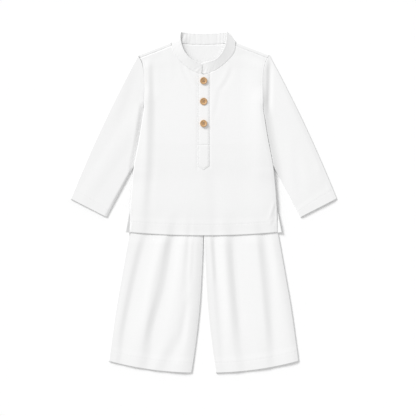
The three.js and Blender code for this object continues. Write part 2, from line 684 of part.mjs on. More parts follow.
function sleeve(side) {
  const armholeOut = (up) =>
    bodyEdge("front", up) +
    lerp(ARMHOLE_GAP.underarm, ARMHOLE_GAP.shoulder, smoothstep(up, ...ARMHOLE_GAP.widens));
  const meeting = evenSteps(7, SHOULDER_POINT.up, SLEEVE_MEETS_BODY_UP).map(
    (up) => new THREE.Vector2(armholeOut(up), up),
  );
  const hidden = new THREE.Vector2(
    (armholeOut(SLEEVE_MEETS_BODY_UP) + UNDERARM.out) / 2,
    (SLEEVE_MEETS_BODY_UP + UNDERARM.up) / 2,
  );
  const armhole = new THREE.SplineCurve([
    ...meeting,
    hidden,
    new THREE.Vector2(UNDERARM.out, UNDERARM.up),
  ]);
  const outerEdge = CUFF_OUTER.clone().sub(armhole.getPointAt(0)).normalize();
  const outward = new THREE.Vector2(-outerEdge.y, outerEdge.x);
  const plan = (across, along) => {
    const seam = armhole.getPointAt(THREE.MathUtils.clamp(across, 0, 1));
    const cuff = CUFF_OUTER.clone().lerp(CUFF_INNER, across);
    const p = seam.lerp(cuff, along);
    p.addScaledVector(outward, SLEEVE_BULGE * (1 - across) * 4 * along * (1 - along));
    return new THREE.Vector2(side * p.x, p.y);
  };
  const length = armhole.getPointAt(0.5).distanceTo(CUFF_OUTER.clone().lerp(CUFF_INNER, 0.5));
  const lift = (across, along) => {
    const p = plan(across, along);
    const width = plan(0, along).distanceTo(plan(1, along));
    const edges =
      smoothstep(across * width, ...SLEEVE_ROLL) *
      smoothstep((1 - across) * width, ...SLEEVE_ROLL);
    const fromBody = smoothstep(Math.abs(p.x) - bodyEdge("front", p.y), ...SLEEVE_ROLL);
    const cuff = lerp(1, CUFF_PRESS, smoothstep(along, 0.75, 1));
    const ridge = bump((across - lerp(...SLEEVE_RIDGE.across, along)) / SLEEVE_RIDGE.halfWidth);
    const hem = hemThickness((1 - along) * length, CUFF_HEM_DEPTH);
    return edges * (fromBody * cuff * (SLEEVE_PUFF + SLEEVE_RIDGE.height * ridge) + hem);
  };
  const hemSteps = [HEM_STEP + CUFF_HEM_DEPTH, CUFF_HEM_DEPTH, 0].map((d) => 1 - d / length);
  return flatTube({
    acrossCount: 12,
    alongSteps: [...evenSteps(11, 0, hemSteps[0]), ...hemSteps.slice(1)],
    plan,
    lift,
    radius: SLEEVE_EDGE_RADIUS,
    wall: CLOTH,
  });
}

// Buttons: turned wooden discs with a raised rim and four holes.
const BUTTON = {
  radius: 7.6,
  thickness: 3,
  rim: 2.1,
  dish: 0.8,
  edge: 0.8, // rounding
  holeRadius: 0.9,
  holeSpacing: 2.5,
};

function solidOf(geometry) {
  const bare = geometry.clone().deleteAttribute("normal").deleteAttribute("uv");
  const merged = mergeVertices(bare, 1e-4);
  return new wasm.Manifold(
    new wasm.Mesh({
      numProp: 3,
      vertProperties: merged.attributes.position.array,
      triVerts: merged.index.array,
    }),
  );
}

function geometryOf(solid) {
  const mesh = solid.getMesh();
  const geometry = new THREE.BufferGeometry();
  geometry.setAttribute("position", new THREE.BufferAttribute(mesh.vertProperties, 3));
  geometry.setIndex(new THREE.BufferAttribute(mesh.triVerts, 1));
  geometry.computeVertexNormals();
  return geometry;
}

function button() {
  const { radius, thickness, rim, dish, edge, holeRadius, holeSpacing } = BUTTON;
  const profile = [
    [0, 0],
    [radius - edge, 0],
    [radius, edge],
    [radius, thickness - edge],
    [radius - edge, thickness],
    [radius - rim + edge / 2, thickness],
    [radius - rim - edge / 2, thickness - dish],
    [0, thickness - dish],
  ].map(([r, z]) => new THREE.Vector2(r, z));
  const disc = new THREE.LatheGeometry(profile, 24).rotateX(Math.PI / 2);
  let solid = solidOf(disc);
  for (const x of [-holeSpacing / 2, holeSpacing / 2])
    for (const y of [-holeSpacing / 2, holeSpacing / 2]) {
      const drill = new THREE.CylinderGeometry(holeRadius, holeRadius, 4 * thickness, 8)
        .rotateX(Math.PI / 2)
        .translate(x, y, 0);
      solid = solid.subtract(solidOf(drill));
    }
  return geometryOf(solid);
}

// Assembly

const outfit = new THREE.Group();
outfit.name = "top_and_trousers";

function addPiece(name, geometry, finish) {
  const piece = new THREE.Mesh(geometry, new THREE.MeshStandardMaterial(finish));
  piece.name = name;
  outfit.add(piece);
  return piece;
}

for (const leg of ["left", "right"]) {
  addPiece(`trouser_back_${leg}`, legPanel(leg, false, 6, 10), WHITE_COTTON);
  addPiece(`trouser_front_${leg}`, legPanel(leg, true, 26, 14), WHITE_COTTON);
}
addPiece("waistband", waistband(), WHITE_COTTON);
addPiece("top_back", backPanel(), WHITE_COTTON);
addPiece("top_front", frontPanel(), WHITE_COTTON);
addPiece("sleeve_left", sleeve(-1), WHITE_COTTON);
addPiece("sleeve_right", sleeve(1), WHITE_COTTON);
addPiece("collar", collar(), WHITE_COTTON);
addPiece("placket_under", underPlacket(), WHITE_COTTON);
addPiece("placket_over", overPlacket(), WHITE_COTTON);

for (const [name, up] of Object.entries(BUTTON_UPS)) {
  const piece = addPiece(name, button(), BUTTON_WOOD);
  const reach = BUTTON.radius;
  const slope = (frontOutside(0, up + reach) - frontOutside(0, up - reach)) / (2 * reach);
  const rest = frontOutside(0, up) + PLACKET_GAPS.under + CLOTH;
  piece.position.set(0, up, rest + BUTTON_GAP);
  piece.rotation.x = Math.atan(slope);
}

// The origin goes to the middle of the footprint.
const footprint = new THREE.Box3().setFromObject(outfit, true);
outfit.position.y = -(footprint.min.y + footprint.max.y) / 2;

export default outfit;
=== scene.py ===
# %% [markdown]
# # A child's cotton top and trousers, laid flat
#
# The real thing is a small white set: a long-sleeved top with a band collar and a buttoned placket, and
# wide cropped trousers, both of thin washed cotton, laid out flat and seen straight from above. A solid
# model of it exists already. This lesson gives it its looks: thin cloth with soft folds, seams with their
# stitches, turned wooden buttons and the light. The first cell loads the solid model, which stays where it
# is. Everything that follows is placed by its measures.

# %% Load the solid model
import math

import bpy
import numpy as np
from mathutils.bvhtree import BVHTree
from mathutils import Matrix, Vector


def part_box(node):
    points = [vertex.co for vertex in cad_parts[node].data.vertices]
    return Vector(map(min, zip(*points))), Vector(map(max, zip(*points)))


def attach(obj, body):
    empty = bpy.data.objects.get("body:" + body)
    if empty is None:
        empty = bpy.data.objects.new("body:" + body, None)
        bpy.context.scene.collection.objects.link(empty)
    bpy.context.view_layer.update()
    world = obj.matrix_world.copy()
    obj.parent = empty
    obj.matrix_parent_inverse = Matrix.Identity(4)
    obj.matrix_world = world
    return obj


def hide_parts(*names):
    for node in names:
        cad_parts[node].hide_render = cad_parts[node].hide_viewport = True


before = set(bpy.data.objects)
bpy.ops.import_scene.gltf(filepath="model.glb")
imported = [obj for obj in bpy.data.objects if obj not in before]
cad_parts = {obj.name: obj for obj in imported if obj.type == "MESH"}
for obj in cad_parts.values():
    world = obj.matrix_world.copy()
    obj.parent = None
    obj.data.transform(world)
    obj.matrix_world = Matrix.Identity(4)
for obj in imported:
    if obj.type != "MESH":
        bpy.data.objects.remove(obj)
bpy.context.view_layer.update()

MM = 0.001
print("solid pieces:", len(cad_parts))

# %% [markdown]
# ## Measuring as a tailor does
#
# A pattern is drawn from a hem upwards and from the middle line outwards. The lesson keeps to that: "up" is
# the distance in millimetres from the lowest trouser hem, "out" the distance to the right of the middle
# line, and "height" the distance above the floor. One function turns such a place into Blender's metres.

# %% From garment measures to the scene
LEG_HEM = {"inner_up": 2.3, "outer_up": 27, "sag": 5.5, "depth": 21}
UP_AT_ORIGIN = LEG_HEM["inner_up"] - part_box("trouser_back_left")[0].y / MM


def in_metres(points):
    """Points as (out, up, height) in millimetres, moved and scaled into the scene."""
    return (np.asarray(points, float) - [0, UP_AT_ORIGIN, 0]) * MM


print("the lowest hem lies at y =", round(-UP_AT_ORIGIN, 1), "mm")

# %% [markdown]
# ## The camera
#
# The set was photographed from straight above. A long lens from far away keeps the view almost free of
# perspective, as a product photograph is. The distance follows from the width that the picture covers.

# %% Camera straight above
PICTURE_SIDE = 416
MM_PER_PIXEL = 2.1
MIDDLE_LINE_PIXEL = 203.6
LOWEST_HEM_PIXEL = 373.7
LENS_MM = 200
SENSOR_MM = 36

view_width = PICTURE_SIDE * MM_PER_PIXEL * MM
camera_data = bpy.data.cameras.new("camera")
camera_data.lens = LENS_MM
camera_data.sensor_width = SENSOR_MM
camera_data.clip_end = 50  # metres, well beyond the floor
camera = bpy.data.objects.new("camera", camera_data)
camera.location = (
    (PICTURE_SIDE / 2 - MIDDLE_LINE_PIXEL) * MM_PER_PIXEL * MM,
    ((LOWEST_HEM_PIXEL - PICTURE_SIDE / 2) * MM_PER_PIXEL - UP_AT_ORIGIN) * MM,
    view_width * LENS_MM / SENSOR_MM,
)
bpy.context.scene.collection.objects.link(camera)
bpy.context.scene.camera = camera
print("camera", round(camera.location.z, 2), "m above a view", round(view_width, 3), "m wide")

# %% [markdown]
# ## Light and floor
#
# White cloth on white shows only by its shading, so the light does most of the work here. A big soft lamp
# low on the upper left draws the folds: slopes that face away from it turn grey. A white sky fills the
# shadows. Both are set by how bright they make a flat, perfectly white card, which makes them easy to
# balance. The Standard view keeps whites white.

# %% Key lamp, white sky and floor
KEY = 0.42
FILL = 0.66
KEY_ELEVATION = math.radians(30)
KEY_FROM = math.radians(133)  # direction to the lamp, counted from the right of the picture
KEY_SOFTNESS = math.radians(22)

bpy.context.scene.view_settings.view_transform = "Standard"
world = bpy.data.worlds.new("white_sky")
world.use_nodes = True
world.node_tree.nodes["Background"].inputs["Color"].default_value = (1, 1, 1, 1)
world.node_tree.nodes["Background"].inputs["Strength"].default_value = FILL
bpy.context.scene.world = world

lamp_data = bpy.data.lights.new("key_lamp", "SUN")
lamp_data.energy = KEY * math.pi / math.sin(KEY_ELEVATION)
lamp_data.angle = KEY_SOFTNESS
lamp = bpy.data.objects.new("key_lamp", lamp_data)
lamp.rotation_euler = (0, math.pi / 2 - KEY_ELEVATION, KEY_FROM)
lamp.location = (-1, 1, 1)
bpy.context.scene.collection.objects.link(lamp)

FLOOR_REACH = 6.0
FLOOR_DROP = 0.0001  # just under the cloth, so that the two never share a face
floor_mesh = bpy.data.meshes.new("floor")
corners = [(-1, -1), (1, -1), (1, 1), (-1, 1)]
floor_mesh.from_pydata(
    [(x * FLOOR_REACH, y * FLOOR_REACH, -FLOOR_DROP) for x, y in corners], [], [(0, 1, 2, 3)]
)
floor = bpy.data.objects.new("floor", floor_mesh)
bpy.context.scene.collection.objects.link(floor)
print("key and fill on a white card:", KEY, "+", FILL)

# %% [markdown]
# ## Two helpers for materials
#
# Colours are easiest to pick as the hex values that a screen shows. Blender calculates in linear light, so
# one function converts them. Another adds a shader node with its settings and its links in one call, which
# keeps each material short enough to read at a glance.

# %% Colour and node helpers


def linear(hex_colour):
    """An sRGB colour such as 0xF2F2F0 as linear red, green, blue and alpha."""
    channels = [(hex_colour >> shift & 0xFF) / 255 for shift in (16, 8, 0)]
    bright = [c / 12.92 if c <= 0.04045 else ((c + 0.055) / 1.055) ** 2.4 for c in channels]
    return (*bright, 1)


def add_node(material, kind, inputs=None, **settings):
    """Adds a node. An input's value is a constant, or another node's output socket to link."""
    tree = material.node_tree
    node = tree.nodes.new(kind)
    for name, value in settings.items():
        setattr(node, name, value)
    for name, value in (inputs or {}).items():
        if isinstance(value, bpy.types.NodeSocket):
            tree.links.new(value, node.inputs[name])
        else:
            node.inputs[name].default_value = value
    return node


def new_material(name):
    """An empty node material and its output node."""
    material = bpy.data.materials.new(name)
    material.use_nodes = True
    material.node_tree.nodes.clear()
    return material, material.node_tree.nodes.new("ShaderNodeOutputMaterial")


def finish_material(material, output, shader):
    material.node_tree.links.new(shader.outputs[0], output.inputs["Surface"])
    print("material", material.name, "with", len(material.node_tree.nodes), "nodes")
    return material


print("white cotton in linear light:", [round(c, 3) for c in linear(0xEDEDED)])

# %% [markdown]
# ## Cotton plain weave
#
# The cloth is a light plain weave, washed soft. Its fibres scatter light evenly, so it is almost completely
# rough, with a faint sheen at grazing angles from loose fibre ends. Fibres of cotton bend light a little
# more than water does, and 1.5 is their usual index. The threads lie about 0.4 mm apart, which is drawn at
# its real size. From this distance the eye sees only the slubs, the thicker stretches of thread that give
# plain cotton its slightly uneven look.

# %% Material: cotton plain weave
THREAD_SPACING = 0.4 * MM
WAVE_BANDS = 20  # Blender draws a wave texture's bands a twentieth of its scale apart
SLUB_LENGTH = 14 * MM
SLUB_WIDTH = 1.6 * MM
WEAVE_SHARE = 0.12  # of the weave in the relief, the slubs being the rest


def cotton(name, light, dark, relief):
    material, output = new_material(name)
    place = add_node(material, "ShaderNodeTexCoord").outputs["Object"]
    band_scale = 1 / (WAVE_BANDS * THREAD_SPACING)
    layers = []
    for direction, stretch in (("X", (SLUB_WIDTH, SLUB_LENGTH)), ("Y", (SLUB_LENGTH, SLUB_WIDTH))):
        threads = add_node(
            material,
            "ShaderNodeTexWave",
            {"Vector": place, "Scale": band_scale, "Distortion": 1.2, "Detail": 1},
            bands_direction=direction,
        )
        slub_scale = (1 / stretch[0], 1 / stretch[1], 1 / SLUB_LENGTH)
        stretched = add_node(material, "ShaderNodeMapping", {"Vector": place, "Scale": slub_scale})
        slubs = add_node(
            material,
            "ShaderNodeTexNoise",
            {"Vector": stretched.outputs[0], "Scale": 1, "Detail": 3, "Roughness": 0.6},
        )
        layer = {0: threads.outputs["Fac"], 1: WEAVE_SHARE, 2: slubs.outputs["Fac"]}
        layers.append(add_node(material, "ShaderNodeMath", layer, operation="MULTIPLY_ADD"))
    both = {0: layers[0].outputs[0], 1: layers[1].outputs[0]}
    woven = add_node(material, "ShaderNodeMath", both, operation="ADD").outputs[0]
    tint = add_node(
        material, "ShaderNodeMapRange", {"Value": woven, "From Min": 0.7, "From Max": 1.5}
    )
    colour = add_node(
        material,
        "ShaderNodeMixRGB",
        {"Fac": tint.outputs[0], "Color1": linear(dark), "Color2": linear(light)},
    )
    bump = add_node(
        material, "ShaderNodeBump", {"Height": woven, "Strength": 0.35, "Distance": relief}
    )
    shader = add_node(
        material,
        "ShaderNodeBsdfPrincipled",
        {
            "Base Color": colour.outputs[0],
            "Roughness": 0.92,
            "IOR": 1.5,
            "Specular IOR Level": 0.2,
            "Sheen Weight": 0.12,
            "Sheen Roughness": 0.5,
            "Normal": bump.outputs[0],
        },
    )
    return finish_material(material, output, shader)


cotton_plain_weave = cotton("cotton_plain_weave", 0xEDEDED, 0xEBEBEB, 0.012 * MM)
cotton_thread = cotton("cotton_thread", 0xE9E9E9, 0xDFDFDF, 0.02 * MM)
button_thread = cotton("grey_button_thread", 0x9A948E, 0x86807A, 0.02 * MM)

# %% [markdown]
# ## Turned wood
#
# The buttons are turned from light brown wood and oiled. The grain is a noise drawn out along its length,
# which makes fine darker streaks, and the wood is a little darker where the noise is deep. Wood bends light
# about as much as glass does, so its index is 1.5, and the oil leaves a soft satin shine, not a gloss.

# %% Material: turned wood
GRAIN_WIDTH = 0.55 * MM
GRAIN_LENGTH = 7 * MM

button_wood, wood_output = new_material("turned_wood")
wood_place = add_node(button_wood, "ShaderNodeTexCoord").outputs["Object"]
wood_stretch = add_node(
    button_wood,
    "ShaderNodeMapping",
    {"Vector": wood_place, "Scale": (1 / GRAIN_LENGTH, 1 / GRAIN_WIDTH, 1 / GRAIN_WIDTH)},
)
wood_grain = add_node(
    button_wood,
    "ShaderNodeTexNoise",
    {"Vector": wood_stretch.outputs[0], "Scale": 1, "Detail": 4, "Roughness": 0.65, "Distortion": 0.4},
).outputs["Fac"]
wood_share = add_node(
    button_wood, "ShaderNodeMapRange", {"Value": wood_grain, "From Min": 0.3, "From Max": 0.68}
)
wood_colour = add_node(
    button_wood,
    "ShaderNodeMixRGB",
    {"Fac": wood_share.outputs[0], "Color1": linear(0xA87B4C), "Color2": linear(0xD9B485)},
)
wood_bump = add_node(
    button_wood, "ShaderNodeBump", {"Height": wood_grain, "Strength": 0.3, "Distance": 0.05 * MM}
)
wood_shader = add_node(
    button_wood,
    "ShaderNodeBsdfPrincipled",
    {
        "Base Color": wood_colour.outputs[0],
        "Roughness": 0.42,
        "IOR": 1.5,
        "Coat Weight": 0.15,
        "Coat Roughness": 0.3,
        "Normal": wood_bump.outputs[0],
    },
)
finish_material(button_wood, wood_output, wood_shader)

# %% [markdown]
# ## The white floor
#
# The set lies on matt white paint. It scatters all light evenly, so it has almost no shine of its own, and
# only the shadows at the edges of the cloth show where it is.

# %% Material: matt white paint
floor_paint, floor_output = new_material("matt_white_paint")
floor_shader = add_node(
    floor_paint,
    "ShaderNodeBsdfPrincipled",
    {"Base Color": linear(0xF7F7F7), "Roughness": 0.95, "Specular IOR Level": 0.1},
)
floor_mesh.materials.append(finish_material(floor_paint, floor_output, floor_shader))

# %% [markdown]
# ## Reading smooth curves from short tables
#
# A pattern cutter gives an outline as a few measures and draws the curve through them with a flexible
# ruler. The same idea works here: a table holds the measures in named columns, and one function reads a
# smooth curve through a column. Working on whole arrays of numbers at once keeps it quick for tens of
# thousands of points.

# %% Table and step helpers


def table_curve(table, key, column, at):
    """A smooth curve through one column of a table, read at the key column's values."""
    keys, values = np.array(table[key], float), np.array(table[column], float)
    last = len(keys) - 1
    before, after = np.maximum(np.arange(last + 1) - 1, 0), np.minimum(np.arange(last + 1) + 1, last)
    slope = (values[after] - values[before]) / (keys[after] - keys[before])
    at = np.clip(at, keys[0], keys[-1])
    k = np.clip(np.searchsorted(keys, at, side="right") - 1, 0, last - 1)
    span = keys[k + 1] - keys[k]
    t = (at - keys[k]) / span
    return (
        (1 + 2 * t) * (1 - t) ** 2 * values[k]
        + t * (1 - t) ** 2 * span * slope[k]
        + t * t * (3 - 2 * t) * values[k + 1]
        + t * t * (t - 1) * span * slope[k + 1]
    )


def smooth_step(value, low, high):
    """0 up to low, 1 from high on, and an even curve between."""
    t = np.clip((value - low) / (high - low), 0, 1)
    return t * t * (3 - 2 * t)


def between(start, end, share):
    return start + (end - start) * share


LEG_OUTLINE = {
    "up": [0, 57, 139, 211, 283, 330, 400, 458],
    "inner": [25.6, 16.9, 7.7, 3.4, 0.6, 0.2, 0.2, 0.2],
    "outer": [203, 195.5, 184, 171.5, 158.6, 149, 131, 108],
}
WAIST_UP = 458
print("a leg is", round(float(table_curve(LEG_OUTLINE, "up", "outer", 100)), 1), "mm out at up 100")

# %% [markdown]
# ## Folds and creases
#
# Cloth that lies on itself lifts in long soft folds. The largest belong to the garment's form, so they
# follow the solid: each is a line of ridge or valley with its distance out and its height at a few levels,
# and the cloth curves evenly from one to the next. The smaller creases come on top. Each is one row of a
# table: where it runs from and to, how far it bows aside, its width, its height as a ridge, and its roll.
# A roll is high on one side and low on the other, which is what makes a dark line under a side light.

# %% Fold and crease helpers
CREASE_COLUMNS = ("from_out", "from_up", "to_out", "to_up", "bow", "width", "ridge", "roll")
CREASE_STARTS = (-0.12, 0.25)  # shares of its length over which a crease rises
CREASE_ENDS = (0.75, 1.12)  # and over which it dies out
PUCKER_WAVES = ((0.5, 6.7), (0.3, 10.3), (0.35, 17.9))  # share and length in mm of each


def fold_lift(folds, levels, out, up):
    """The lift at places between fold lines, which are listed in order of their distances."""
    lines = [
        {
            column: table_curve({"level": levels, column: line[column]}, "level", column, up)
            for column in ("outs", "heights")
        }
        for line in folds
    ]
    lift = lines[0]["heights"] * np.ones_like(out)
    for first, second in zip(lines, lines[1:]):
        share = smooth_step(out, first["outs"], second["outs"])
        lift = lift + (second["heights"] - first["heights"]) * share
    return lift


def crease_lift(creases, out, up):
    """The height that a table of creases adds at each place."""
    lift = np.zeros_like(out)
    for row in creases:
        crease = dict(zip(CREASE_COLUMNS, row))
        run_out = crease["to_out"] - crease["from_out"]
        run_up = crease["to_up"] - crease["from_up"]
        length = math.hypot(run_out, run_up)
        from_out, from_up = out - crease["from_out"], up - crease["from_up"]
        along = (from_out * run_out + from_up * run_up) / length**2
        aside = (from_up * run_out - from_out * run_up) / length
        aside = aside - crease["bow"] * 4 * along * (1 - along)
        u = aside / crease["width"]
        ends = smooth_step(along, *CREASE_STARTS) * (1 - smooth_step(along, *CREASE_ENDS))
        ridge = crease["ridge"] * np.exp(-u * u / 2)
        roll = -crease["roll"] * u * np.exp(0.5 - u * u / 2)
        lift = lift + ends * (ridge + roll)
    return lift


def puckers(along, aside, reach, depth, start=0.0):
    """Small uneven gathers beside a seam: along runs with the seam, aside is the distance from it."""
    waves = sum(
        share * np.sin(2 * math.pi * (along + start) / length + start)
        for share, length in PUCKER_WAVES
    )
    return depth * waves * np.exp(-((aside / reach) ** 2))


def seam_groove(aside, width, depth):
    """The shallow groove that stitches pull into the cloth."""
    return -depth * np.exp(-((aside / width) ** 2))


def rolled_edge(distance, width, drop):
    """How far cloth turns down as it comes to an edge, like a quarter circle."""
    share = 1 - np.clip(distance / width, 0, 1)
    return drop * (1 - np.sqrt(np.clip(1 - share * share, 0, 1)))


print("a groove is", round(float(seam_groove(0, 1, 0.2)), 2), "mm deep at its stitches")

# %% [markdown]
# ## A shell of cloth from two grids
#
# A piece of cloth is modelled as a grid of points for its outer face and one for its inner face, joined by
# a rim along every edge. That gives a thin closed mesh with real thickness, which shades well from any
# side. Grids are also easy to measure: a seam runs along a row or a column. Cells can be left out, for a
# cut or a neckline, and a grid can close on itself, for a tube.

# %% Shell builder
CLOTH = 0.6  # wall of the thin cloth shells, in millimetres
HEM_CLOTH = 0.4  # what a turned hem adds to it
shells = {}


def inner_face(points, thickness, ring=False):
    """The grid of points that lies one thickness under another."""
    if ring:
        across = np.roll(points, -1, axis=1) - np.roll(points, 1, axis=1)
    else:
        across = np.gradient(points, axis=1)
    normal = np.cross(across, np.gradient(points, axis=0))
    normal /= np.maximum(np.linalg.norm(normal, axis=2, keepdims=True), 1e-9)
    return points - normal * np.asarray(thickness)[..., None]


def shell_faces(rows, columns, keep, ring):
    index = np.arange(rows * columns).reshape(rows, columns)
    if ring:
        index = np.hstack([index, index[:, :1]])
    corners = [index[:-1, :-1], index[:-1, 1:], index[1:, 1:], index[1:, :-1]]
    padded = np.pad(keep, 1)
    if ring:
        padded[1:-1, 0], padded[1:-1, -1] = keep[:, -1], keep[:, 0]
    beyond = [padded[:-2, 1:-1], padded[1:-1, 2:], padded[2:, 1:-1], padded[1:-1, :-2]]
    below = rows * columns
    top = np.stack([c[keep] for c in corners], axis=-1)
    faces = [top, top[:, ::-1] + below]
    for side in range(4):
        edge = keep & ~beyond[side]
        start, end = corners[side][edge], corners[(side + 1) % 4][edge]
        faces.append(np.stack([end, start, start + below, end + below], axis=-1))
    return np.concatenate(faces)


def volume_sign(points, faces):
    a, b, c, d = (points[faces[:, k]] for k in range(4))
    return np.sum(a * np.cross(b, c)) + np.sum(a * np.cross(c, d))


def cloth_shell(name, outer, inner, material, node, keep=None, ring=False):
    """A closed mesh between two grids of (out, up, height) in millimetres, which hides the part and rides on
    the root.
    """
    rows, columns = outer.shape[:2]
    if keep is None:
        keep = np.ones((rows - 1, columns if ring else columns - 1), bool)
    faces = shell_faces(rows, columns, keep, ring)
    points = in_metres(np.concatenate([outer.reshape(-1, 3), inner.reshape(-1, 3)]))
    if volume_sign(points, faces) < 0:
        faces = faces[:, ::-1]
    used, faces = np.unique(faces, return_inverse=True)
    mesh = bpy.data.meshes.new(name)
    mesh.from_pydata(points[used].tolist(), [], faces.reshape(-1, 4).tolist())
    mesh.shade_smooth()
    mesh.materials.append(material)
    piece = bpy.data.objects.new(name, mesh)
    bpy.context.scene.collection.objects.link(piece)
    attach(piece, "root")
    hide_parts(node)
    shells[name] = {"piece": piece, "outer": outer}
    print(name, "has", len(mesh.polygons), "faces")
    return piece


FINE_ZONE = 5  # at each end of a length
STEP_GROWTH = 1.5


def fine_steps(length, step, edge_step=0.4):
    """Places along a length: closer together at both ends, where edges and hems turn."""
    ends = []
    place = 0.0
    gap = edge_step
    while place < min(length / 3, FINE_ZONE):
        ends.append(place)
        place += gap
        gap = min(gap * STEP_GROWTH, step)
    middle = np.linspace(place, length - place, max(2, round((length - 2 * place) / step) + 1))
    return np.concatenate([ends, middle, length - np.array(ends[::-1])])


print("steps over 20 mm:", [round(float(s), 1) for s in fine_steps(20, 2)])

# %% [markdown]
# ## Trousers: the folds
#
# The trousers are gathered at the waist, under the top, and the fullness runs down both legs in three or four
# long folds. The tables give first the folds of the form and then the sharper creases in them. The creases'
# rolls are steep on the side away from the lamp, because that is how gathered cotton falls.

# %% Trouser fold tables
LEG_FOLD_LEVELS = [0, 38, 92, 186, 281, 458]
LEG_FOLDS = {
    "left": [
        {"outs": [48, 40, 32, 26, 22, 15], "heights": [1.8, 2.5, 3.0, 3.1, 2.8, 1.9]},
        {"outs": [84, 68, 47, 36, 30, 21], "heights": [0.9, 1.1, 2.1, 2.6, 2.2, 1.6]},
        {"outs": [104, 88, 64, 48, 39, 28], "heights": [1.2, 1.8, 2.6, 3.0, 3.0, 2.3]},
        {"outs": [122, 112, 104, 80, 64, 43], "heights": [0.7, 0.7, 0.6, 0.5, 0.4, 0.9]},
        {"outs": [142, 134, 124, 99, 82, 58], "heights": [1.2, 2.2, 3.0, 3.3, 3.4, 2.8]},
        {"outs": [178, 172, 164, 144, 121, 80], "heights": [0.8, 0.8, 0.8, 0.8, 0.7, 0.9]},
        {"outs": [190, 184, 177, 159, 137, 92], "heights": [1.2, 1.5, 1.8, 2.0, 2.1, 1.9]},
    ],
    "right": [
        {"outs": [34, 30, 25, 18, 12, 9], "heights": [1.1, 1.3, 1.6, 1.8, 2.0, 1.7]},
        {"outs": [45, 40, 36, 29, 23, 18], "heights": [0.9, 0.9, 1.0, 1.0, 0.9, 1.0]},
        {"outs": [72, 65, 57, 49, 43, 32], "heights": [1.3, 1.9, 2.6, 2.9, 2.8, 2.3]},
        {"outs": [90, 84, 77, 70, 64, 48], "heights": [0.6, 0.6, 0.5, 0.4, 0.4, 0.9]},
        {"outs": [133, 130, 126, 120, 108, 71], "heights": [1.3, 2.0, 2.7, 3.1, 3.3, 2.8]},
        {"outs": [152, 149, 147, 142, 129, 87], "heights": [0.8, 0.8, 0.8, 0.7, 0.6, 1.0]},
        {"outs": [184, 179, 174, 160, 146, 98], "heights": [1.3, 1.7, 2.0, 2.1, 2.0, 1.8]},
    ],
}
# from out, from up, to out, to up, bow, width, ridge, roll
LEG_CREASES = {
    "left": [
        (-130, 300, -178, 66, -2, 7, 0, 0.35),
        (-74, 300, -122, 60, -4, 8, 0, 0.45),
        (-23, 300, -28, 190, 0, 4, 0, 0.3),
        (-30, 175, -52, 60, -2, 7, 0, 0.3),
    ],
    "right": [
        (16, 300, 24, 185, 1, 4, 0, 0.35),
        (52, 300, 73, 78, -2, 8, 0, 0.55),
        (118, 300, 143, 55, -3, 7, 0, 0.4),
    ],
}
print("creases placed by hand on the legs:", sum(len(rows) for rows in LEG_CREASES.values()))

# %% [markdown]
# ## Creases underneath
#
# The undersides lie flat on the floor, where the camera never looks, but the same cloth would crease there
# too. A crease in cloth that is pressed flat shows from beneath as a shallow hollow. These tables place a
# few on each underside, as long and as uneven as those on the other side.

# %% Creases of the undersides
UNDER_CREASES = {
    "leg_left": [
        (-40, 430, -62, 45, -3, 6, 0.5, 0),
        (-80, 400, -128, 60, 4, 7, 0.6, 0),
        (-128, 280, -160, 70, 2, 5, 0.35, 0),
    ],
    "leg_right": [
        (28, 430, 46, 60, 2, 6, 0.5, 0),
        (70, 410, 104, 50, -4, 7, 0.6, 0),
        (120, 300, 158, 80, -2, 5, 0.35, 0),
    ],
    "body": [
        (-112, 640, -124, 330, 4, 7, 0.6, 0),
        (-40, 610, -22, 350, -5, 8, 0.4, 0),
        (52, 620, 34, 340, 4, 7, 0.5, 0),
        (118, 650, 138, 320, -3, 6, 0.6, 0),
    ],
    "sleeve_left": [(-150, 640, -200, 420, 4, 6, 0.5, 0), (-146, 540, -215, 390, -3, 5, 0.4, 0)],
    "sleeve_right": [(152, 636, 204, 425, -4, 6, 0.5, 0), (148, 545, 218, 395, 3, 5, 0.4, 0)],
}
FLAT_EDGE = 12  # a piece lies flat on the floor this far in from its edges
RIDGE_COLUMN = CREASE_COLUMNS.index("ridge")


def hollow_under(name, out, up, from_edge):
    """How far an underside is lifted off the floor by its creases."""
    depth = np.maximum(crease_lift(UNDER_CREASES[name], out, up), 0)
    return depth * smooth_step(from_edge, 0, FLAT_EDGE)


deepest = max(row[RIDGE_COLUMN] for rows in UNDER_CREASES.values() for row in rows)
print("the deepest is", deepest, "mm deep")

# %% [markdown]
# ## Trousers: the panels
#
# Each leg is cut from a front and a back, and both share one grid: columns from the inseam to the side seam,
# and rows from the hem to the waist. The hem is turned up and stitched, so it is thicker, it ends in a small
# step, and the stitches pull a groove and little puckers into it. Rows lie closer together there.

# %% The legs' grid and their hems
LAYER = 1.0  # each layer's share of the solid's height
SEAM_GAP = 0.3
HEM_STEP = 1.5
HEM_RISE = 0.4  # a hem lifts the front of the cloth
HEM_SPREAD = 14  # over which that ends above its stitches
HEM_ZONE = {"above": 4, "step": 1.3}  # rows are close together to just above the stitches
HEM_PUCKERS = {"reach": 5, "depth": 0.08}
STITCH_GROOVE = {"width": 1.2, "depth": 0.16}
LEG_TOP_UP = WAIST_UP - SEAM_GAP
GRID_STEP = 1.9


def leg_edge(edge, up):
    return table_curve(LEG_OUTLINE, "up", edge, up)


def leg_hem_up(share):
    sag = LEG_HEM["sag"] * 4 * share * (1 - share)
    return between(LEG_HEM["inner_up"], LEG_HEM["outer_up"], share) - sag


def hem_share(over_hem, depth):
    """1 on a turned hem and 0 above it."""
    return 1 - smooth_step(over_hem, depth, depth + HEM_STEP)


